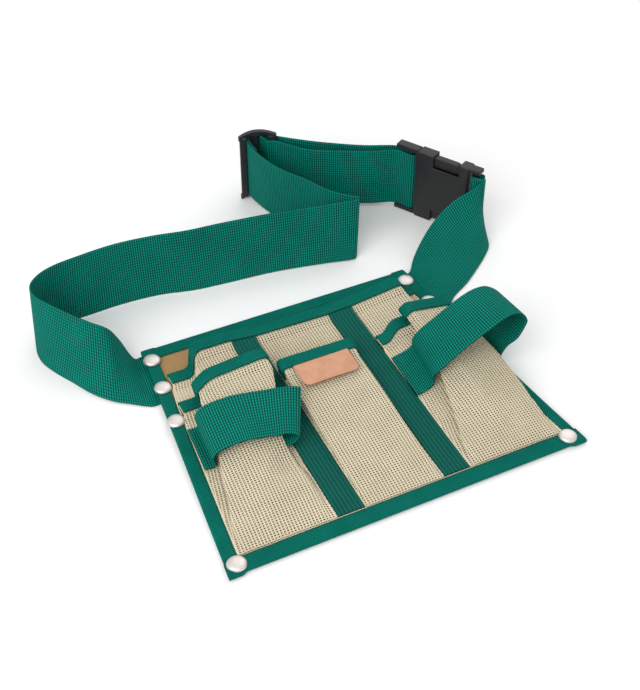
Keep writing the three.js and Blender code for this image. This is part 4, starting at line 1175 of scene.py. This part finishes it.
@dataclass
class Pockets:
    """The four pockets and the strips between them."""

    finishes: Finishes
    stitches: Stitching
    weave: OpenMesh = field(default_factory=OpenMesh)
    rib_height: float = 0.35
    strip_wall: float = 0.85
    strip_step: float = 2.0
    strip_columns: int = 43

    def build(self) -> None:
        """Builds the pockets and the strips."""
        edges = [x + side * (STRIP_WIDTH / 2 + CLEAR) for x in STRIP_CENTRES for side in (-1, 1)]
        left = FrontLine(
            LEFT_SHAPE, lambda y: -inner_edge(y), lambda y: edges[0], rise=14.5, tuck=0.05)
        centre = FrontLine(
            CENTRE_SHAPE, lambda y: edges[1], lambda y: edges[2], rise=9.5, tuck=0.04)
        right = FrontLine(RIGHT_SHAPE, lambda y: edges[3], inner_edge, rise=17.0, tuck=0.13)
        for name, mouth, line, anchor, form in (
            ("back_pocket", BACK_MOUTH, back_line, lambda y: 0.0, {"sag": (12.0, -86.0, -72.0)}),
            ("left_pocket", SIDE_MOUTH, left, left.middle,
             {"sag": (4.0, -92.0, -80.0), "dent": (5.0, -60.0, 62.0)}),
            ("centre_pocket", CENTRE_MOUTH, centre, centre.middle, {}),
            ("right_pocket", SIDE_MOUTH, right, right.middle, {"sag": (9.0, 48.0, 64.0)}),
        ):
            pocket = Pocket(name, mouth, line, anchor, self.finishes, self.stitches, **form)
            pocket.build(self.weave)
        for middle, name in zip(STRIP_CENTRES, ("strip_left", "strip_right")):
            self._strip(middle, name)

    def _strip(self, centre: float, name: str) -> None:
        """Ribbed strip from the bottom tape to the back pocket's tape."""
        ys = np.arange(FIRST_ROW, BACK_MOUTH - MOUTH_TAPE - CLEAR, self.strip_step)
        shares = np.linspace(-0.5, 0.5, self.strip_columns)
        x = centre + shares * STRIP_WIDTH
        rise = smooth(ys, taper_start(BACK_MOUTH), taper_end(BACK_MOUTH)) * MOUTH_RAISE
        ends = np.array([back_height(x[[0, -1]], y) for y in ys]) + CLEAR + rise[:, None]
        heights = lerp(ends[:, :1], ends[:, 1:], shares + 0.5)
        bottom = np.stack(np.broadcast_arrays(x, ys[:, None], heights), -1)[:, ::-1]
        ribs = np.abs(np.sin((shares[::-1] + 0.5) * math.pi * STRIP_RIBS)) * self.rib_height
        top = bottom.copy()
        top[..., 2] += self.strip_wall + ribs
        uv = np.stack([bottom[..., 1], bottom[..., 0] - centre + STRIP_WIDTH / 2], -1)
        piece = MeshMaker.slab(name + "_webbing", top, bottom, uv, self.finishes.strip)
        register(piece, Slot.WEBBING, name)


@dataclass
class Label:
    """Plain leather label below the centre pocket's tape."""

    material: Material
    curl: float = 1.1
    wall: float = 1.5
    corner: float = 4.5
    rounding: float = 0.5
    rounding_reach: float = 1.6
    groove: float = 0.22
    groove_inset: float = 2.4
    groove_width: float = 0.55
    bow: float = 0.25
    hidden: float = 2.0
    grid: tuple[int, int] = (33, 61)

    def build(self) -> None:
        """Builds the label on the CAD plate's outline, softened and curled at its lower edge."""
        low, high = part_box("leather_label")
        wide, tall = (high.x - low.x) * 1000, (high.y - low.y) * 1000
        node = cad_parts["leather_label"]
        _, ys, ups = np.array([v.co for v in node.data.vertices]).T * 1000
        near, far = ups[ys < ys.min() + 0.5].min(), ups[ys > ys.max() - 0.5].min()
        rows, columns = self.grid
        v, u = np.meshgrid(np.linspace(0, 1, rows), np.linspace(1, -1, columns), indexing="ij")
        y = v * tall
        inside = np.maximum(self.corner - y, 0)
        pull = self.corner - np.sqrt(np.maximum(self.corner**2 - inside**2, 0))
        x = u * (wide / 2 - pull)
        z = self.curl * (1 - v) ** 3 + self.bow * np.cos(u * 2.2) * (1 - v) + (far - near) * v
        seat = np.array([(low.x + high.x) * 500, low.y * 1000, near]) - SHIFT
        top = np.stack([x, y, z], -1) + seat
        bottom = top.copy()
        sides = ((1 - np.abs(u)) * wide / 2, y, (1 - v) * tall + self.hidden)
        edge = np.minimum.reduce(sides)
        rounding = self.rounding * np.clip(1 - edge / self.rounding_reach, 0, 1) ** 2
        pressed = self.groove * np.exp(-((edge - self.groove_inset) / self.groove_width) ** 2)
        top[..., 2] += self.wall - rounding - pressed
        bottom[..., 2] += rounding * 0.5
        uv = np.stack([x, y], -1)
        piece = MeshMaker.slab("label_leather", top, bottom, uv, self.material)
        register(piece, Slot.LEATHER, "leather_label")


@dataclass
class Webbing:
    """A woven strap through rows of its two edges."""

    name: str
    node: str
    rows: Array
    width: float
    per_knot: int
    seams: tuple[float, float]
    rests_on: tuple[str, ...]
    relief: float = 0.17
    gap_depth: float = 0.35
    thin_edge: float = 1.2
    wall: float = WEB_WALL / 2 - 0.12
    steps: int = 24

    def build(self, finishes: Finishes, stitches: Stitching) -> None:
        """Builds the strap and the seams across its sewn ends."""
        t = np.linspace(0, 1, len(self.rows) * self.steps)
        low, high = (spline(self.rows[:, k], t) for k in (0, 1))
        length = arc((low + high) / 2)
        count = round(length[-1] / KNOT_PITCH) * self.per_knot
        places = np.linspace(0, length[-1], count + 1)
        low, high = (along(side, places, length)[:, None] for side in (low, high))
        columns = round(self.width / KNOT_ACROSS) * self.per_knot + 1
        middle = lerp(low, high, np.linspace(0, 1, columns)[None, :, None])
        normal = unit(np.cross(np.gradient(middle, axis=0), np.gradient(middle, axis=1)))
        i, j = np.arange(count + 1)[:, None], np.arange(columns)[None, :]
        turn = math.pi / self.per_knot
        knots = np.abs(np.sin(i * turn) * np.sin(j * turn)) - self.gap_depth
        rim = np.minimum(j, columns - 1 - j) * self.width / (columns - 1)
        edge = np.clip(rim / self.thin_edge, 0, 1)
        thick = self.wall * (0.55 + 0.45 * edge) + knots * self.relief * edge
        out = normal * thick[..., None]
        threads = (i * KNOT_PITCH / self.per_knot, j * KNOT_ACROSS / self.per_knot)
        uv = np.stack(np.broadcast_arrays(*threads), -1)
        piece = MeshMaker.slab(self.name, middle + out, middle - out, uv, finishes.webbing)
        register(piece, Slot.WEBBING, self.node)
        marks = arc(middle[:, columns // 2])
        for seam in self.seams:
            row = np.argmin(np.abs(marks - (seam if seam > 0 else marks[-1] + seam)))
            for side in (-1, 1):
                face = middle[row] + side * normal[row] * (WEB_WALL / 2 + 0.05)
                stitches.lines.append(face[3:-3])


@dataclass
class Hardware:
    """Plan of a plastic fitting: where it stands and how it is turned."""

    x: float
    y: float
    turn: float

    def point(self, lengthwise: float, front: float) -> Array:
        """Plan point along the fitting and out to its front."""
        a = math.radians(self.turn)
        x = self.x + lengthwise * math.cos(a) + front * math.sin(a)
        return np.array([x, self.y + lengthwise * math.sin(a) - front * math.cos(a)])

    def wrap(self, x: float, y: float, radius: float, start: float, end: float) -> list[Array]:
        """Plan points of a turn round a bar at (x, y), from one angle to another."""
        angles = (math.radians(lerp(start, end, i / 5)) for i in range(6))
        return [self.point(x + radius * math.cos(a), y + radius * math.sin(a)) for a in angles]


@dataclass
class Straps:
    """Waist strap in two parts, and the two tool loops."""

    slider: Hardware = field(default_factory=lambda: Hardware(51.2, 352.0, -14.5))
    buckle: Hardware = field(default_factory=lambda: Hardware(146.65, 291.6, -60.5))
    slider_length: float = 29.0
    slider_bar: float = 5.0
    mid_bar: tuple[float, float] = (-2.0, -7.0)
    mid_bar_half: tuple[float, float] = (3.0, 2.0)
    buckle_bar: float = 3.0
    bar_inset: float = 13.4
    eye_inset: float = 4.7
    buckle_length: float = 19.6 + 45.0 + 9.2 + CLEAR
    foot: float = 3.8
    sewn: tuple[float, float] = (156.0, 206.0)
    under: float = 26.0

    def _upright(self, *plan: Array) -> Array:
        """Edges of upright webbing at plan points."""
        low = np.array([(*point, self.foot) for point in plan])
        return np.stack([low, low + [0, 0, WEB_WIDTH]], 1)

    @staticmethod
    def _between(start: Array, finish: Array, shares: Rows) -> list[Array]:
        """Plan points between two others, bowed to one side."""
        way = finish - start
        side = np.array([way[1], -way[0]])
        return [start + way * t + side * out for t, out in shares]

    @staticmethod
    def _run(table: Rows) -> Array:
        """Free webbing of the waist strap."""
        return edge_rows(table, (*BELT_REACH, WEB_WIDTH), WEB_FLOOR, WEB_WIDTH)

    def _attached(self, side: int) -> Array:
        """The flat end sewn under a side of the panel, from its end outwards."""
        steps = (-self.under, -self.under / 2, 0.0, WEB_WIDTH / 10)
        return np.array([[(side * (half_width(y) + d), y, WEB_FLOOR) for y in self.sewn]
                         for d in steps])

    def _turn(self) -> float:
        """Radius of the webbing's turn round a bar of the buckle."""
        return math.hypot(self.buckle_bar, self.buckle_bar) / 2 + CLEAR + WEB_WALL / 2

    def _left_rows(self) -> Array:
        """Rows of the long strap: round the slider, the buckle's bar and back to the slider."""
        slider, buckle, turn = self.slider, self.buckle, self._turn()
        end = self.slider_length / 2 - self.slider_bar / 2
        passing = self.mid_bar_half[1] + CLEAR * 2 + WEB_WALL / 2
        slot = end - self.slider_bar / 2 - CLEAR - WEB_WALL / 2
        bar = self.mid_bar[0]
        inner = math.hypot(*self.mid_bar_half) + CLEAR + WEB_WALL / 2
        outer = inner + WEB_WALL + CLEAR
        slider_back = slider.point(end + self.slider_bar / 2, -passing)
        slider_front = slider.point(end, passing)
        buckle_back, buckle_front = buckle.point(0, -turn), buckle.point(0, turn)
        return np.concatenate([self._attached(-1), self._run(LEFT_RUN), self._upright(
            slider.point(bar - outer * 0.75, 8), slider.point(bar - outer, 0),
            *slider.wrap(*self.mid_bar, outer, 180, 308), slider_back,
            *self._between(slider_back, buckle_back, BACK_LAYER), buckle_back,
            *buckle.wrap(self.bar_inset, 0.0, turn, -90, 90), buckle_front,
            *self._between(slider_front, buckle_front, FRONT_LAYER)[::-1], slider_front,
            slider.point(slot, passing), slider.point(slot - WEB_WALL, WEB_WALL / 2),
            *slider.wrap(*self.mid_bar, inner, 320, 180), slider.point(bar - inner, 0),
            slider.point(bar - inner * 0.62, 9), slider.point(bar - inner * 0.2, 15))])

    def _right_rows(self) -> Array:
        """Rows of the short strap, from the buckle's eye to the panel."""
        buckle, turn = self.buckle, self._turn()
        bar = self.buckle_length - self.eye_inset
        eye = self._upright(
            buckle.point(bar + 9, turn * 0.35), buckle.point(bar + 4, turn * 0.8),
            *buckle.wrap(bar, 0.0, turn, 90, 270),
            buckle.point(self.buckle_length + CLEAR * 3, -turn))
        return np.concatenate([eye, self._run(RIGHT_RUN), self._attached(1)[::-1]])

    def build(self, finishes: Finishes, stitches: Stitching) -> None:
        """Builds the straps and loops; a seam's place below zero is from the strap's end."""
        scale = (PANEL_BOTTOM / 2, PANEL_HEIGHT, LOOP_RISE)
        left, right = (edge_rows(t, scale, 0.0, LOOP_WIDTH) for t in (LEFT_LOOP, RIGHT_LOOP))
        long, short = self._left_rows(), self._right_rows()
        floor, cloth = ("floor",), ("panel_cloth", "back_pocket_mesh")
        for name, node, rows, width, per_knot, seams, rests_on in (
            ("waist_strap_left", "belt_left", long, WEB_WIDTH, 2, (-3.0, -6.0), floor),
            ("waist_strap_right", "belt_right", short, WEB_WIDTH, 3, (2.5, 6.0), floor),
            ("tool_loop_left", "loop_left", left, LOOP_WIDTH, 4, (1.6, -2.0), cloth),
            ("tool_loop_right", "loop_right", right, LOOP_WIDTH, 4, (2.0, -2.0), cloth),
        ):
            Webbing(name, node, rows, width, per_knot, seams, rests_on).build(finishes, stitches)


@dataclass
class Moulding:
    """A plastic fitting: the CAD solid with softened edges."""

    node: str
    bevel: float
    material: Material
    merge: float = 0.02
    bevel_steps: int = 3
    flat_angle: float = 3.0
    edge_angle: float = 35.0
    sharp_angle: float = 40.0

    def build(self) -> None:
        """Builds the fitting from a merged copy of the CAD node."""
        name = self.node + "_plastic"
        piece = add_object(name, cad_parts[self.node].data.copy())
        piece.modifiers.new("merge", "WELD").merge_threshold = self.merge / 1000
        flatten = piece.modifiers.new("flatten", "DECIMATE")
        flatten.decimate_type = "DISSOLVE"
        flatten.angle_limit = math.radians(self.flat_angle)
        soften = piece.modifiers.new("soften", "BEVEL")
        soften.width = self.bevel / 1000
        soften.segments = self.bevel_steps
        soften.limit_method = "ANGLE"
        soften.angle_limit = math.radians(self.edge_angle)
        graph = bpy.context.evaluated_depsgraph_get()
        final = bpy.data.meshes.new_from_object(piece.evaluated_get(graph))
        piece.modifiers.clear()
        piece.data = final
        final.name = name
        final.materials.clear()
        final.materials.append(self.material)
        final.polygons.foreach_set("use_smooth", [True] * len(final.polygons))
        final.polygons.foreach_set("material_index", [0] * len(final.polygons))
        final.set_sharp_from_angle(angle=math.radians(self.sharp_angle))
        register(piece, Slot.PLASTIC, self.node)


@dataclass
class Studio:
    """Pale floor, soft light and the camera at the photograph's angle."""

    camera_place: tuple[float, float, float] = (-276.05, -422.95, 577.91)
    heading: tuple[float, float] = (0.443, 0.8965)
    pitch: float = 41.5
    lens: float = 63.8
    floor_half: float = 6.0
    floor_colour: Colour = (0.90, 0.90, 0.903)
    world_light: float = 0.74
    lamps: tuple = (((-1.1, -0.8, 1.15), 1.3, 20.0), ((0.9, 0.9, 1.4), 1.5, 8.0))

    @staticmethod
    def _aim(thing: Piece, place: Sequence[float], way: Vector) -> None:
        """Puts a camera or lamp at a place and turns it to face a way."""
        thing.location = place
        thing.rotation_mode = "QUATERNION"
        thing.rotation_quaternion = way.to_track_quat("-Z", "Y")

    def camera(self) -> None:
        """Adds the camera."""
        data = bpy.data.cameras.new("camera")
        data.lens = self.lens
        data.sensor_width = 36
        data.clip_start, data.clip_end = 0.02, 20
        eye = add_object("camera", data)
        tilt = math.radians(self.pitch)
        x, y = (part * math.cos(tilt) for part in self.heading)
        self._aim(eye, metres(np.array(self.camera_place)), Vector((x, y, -math.sin(tilt))))
        bpy.context.scene.camera = eye

    def floor(self) -> None:
        """Adds the floor."""
        corners = [(x * self.floor_half, y * self.floor_half, 0)
                   for x, y in ((-1, -1), (1, -1), (1, 1), (-1, 1))]
        floor = add_mesh("floor", corners, (), [(0, 1, 2, 3)])
        shader = Shader("floor", Base_Color=(*self.floor_colour, 1.0), Roughness=0.8,
                        Specular_IOR_Level=0.2)
        floor.data.materials.append(shader.material)

    def lights(self) -> None:
        """Adds the soft lights."""
        scene = bpy.context.scene
        scene.world = bpy.data.worlds.new("studio")
        scene.world.use_nodes = True
        background = scene.world.node_tree.nodes["Background"].inputs
        background["Color"].default_value = (1, 1, 1, 1)
        background["Strength"].default_value = self.world_light
        for place, size, power in self.lamps:
            data = bpy.data.lights.new("softbox", "AREA")
            data.shape = "SQUARE"
            data.size = size
            data.energy = power
            self._aim(add_object("softbox", data), place, -Vector(place))
        scene.view_settings.view_transform = "Standard"


def main() -> None:
    """Builds the studio and the belt's pieces in order."""
    logging.basicConfig(level=logging.INFO, format="%(message)s")
    studio = Studio()
    studio.camera()
    studio.floor()
    studio.lights()
    finishes = Finishes()
    stitches = Stitching(finishes.thread)
    Panel(finishes, stitches).build()
    Pockets(finishes, stitches).build()
    Label(finishes.leather).build()
    Straps().build(finishes, stitches)
    Rivets(finishes.nickel).build()
    for node, bevel in (("slider", 1.5), ("buckle_male", 1.5), ("buckle_female", 1.3)):
        Moulding(node, bevel, finishes.plastic).build()
    register(stitches.build("seam_stitches"), Slot.BINDING)


if __name__ == "__main__":
    main()
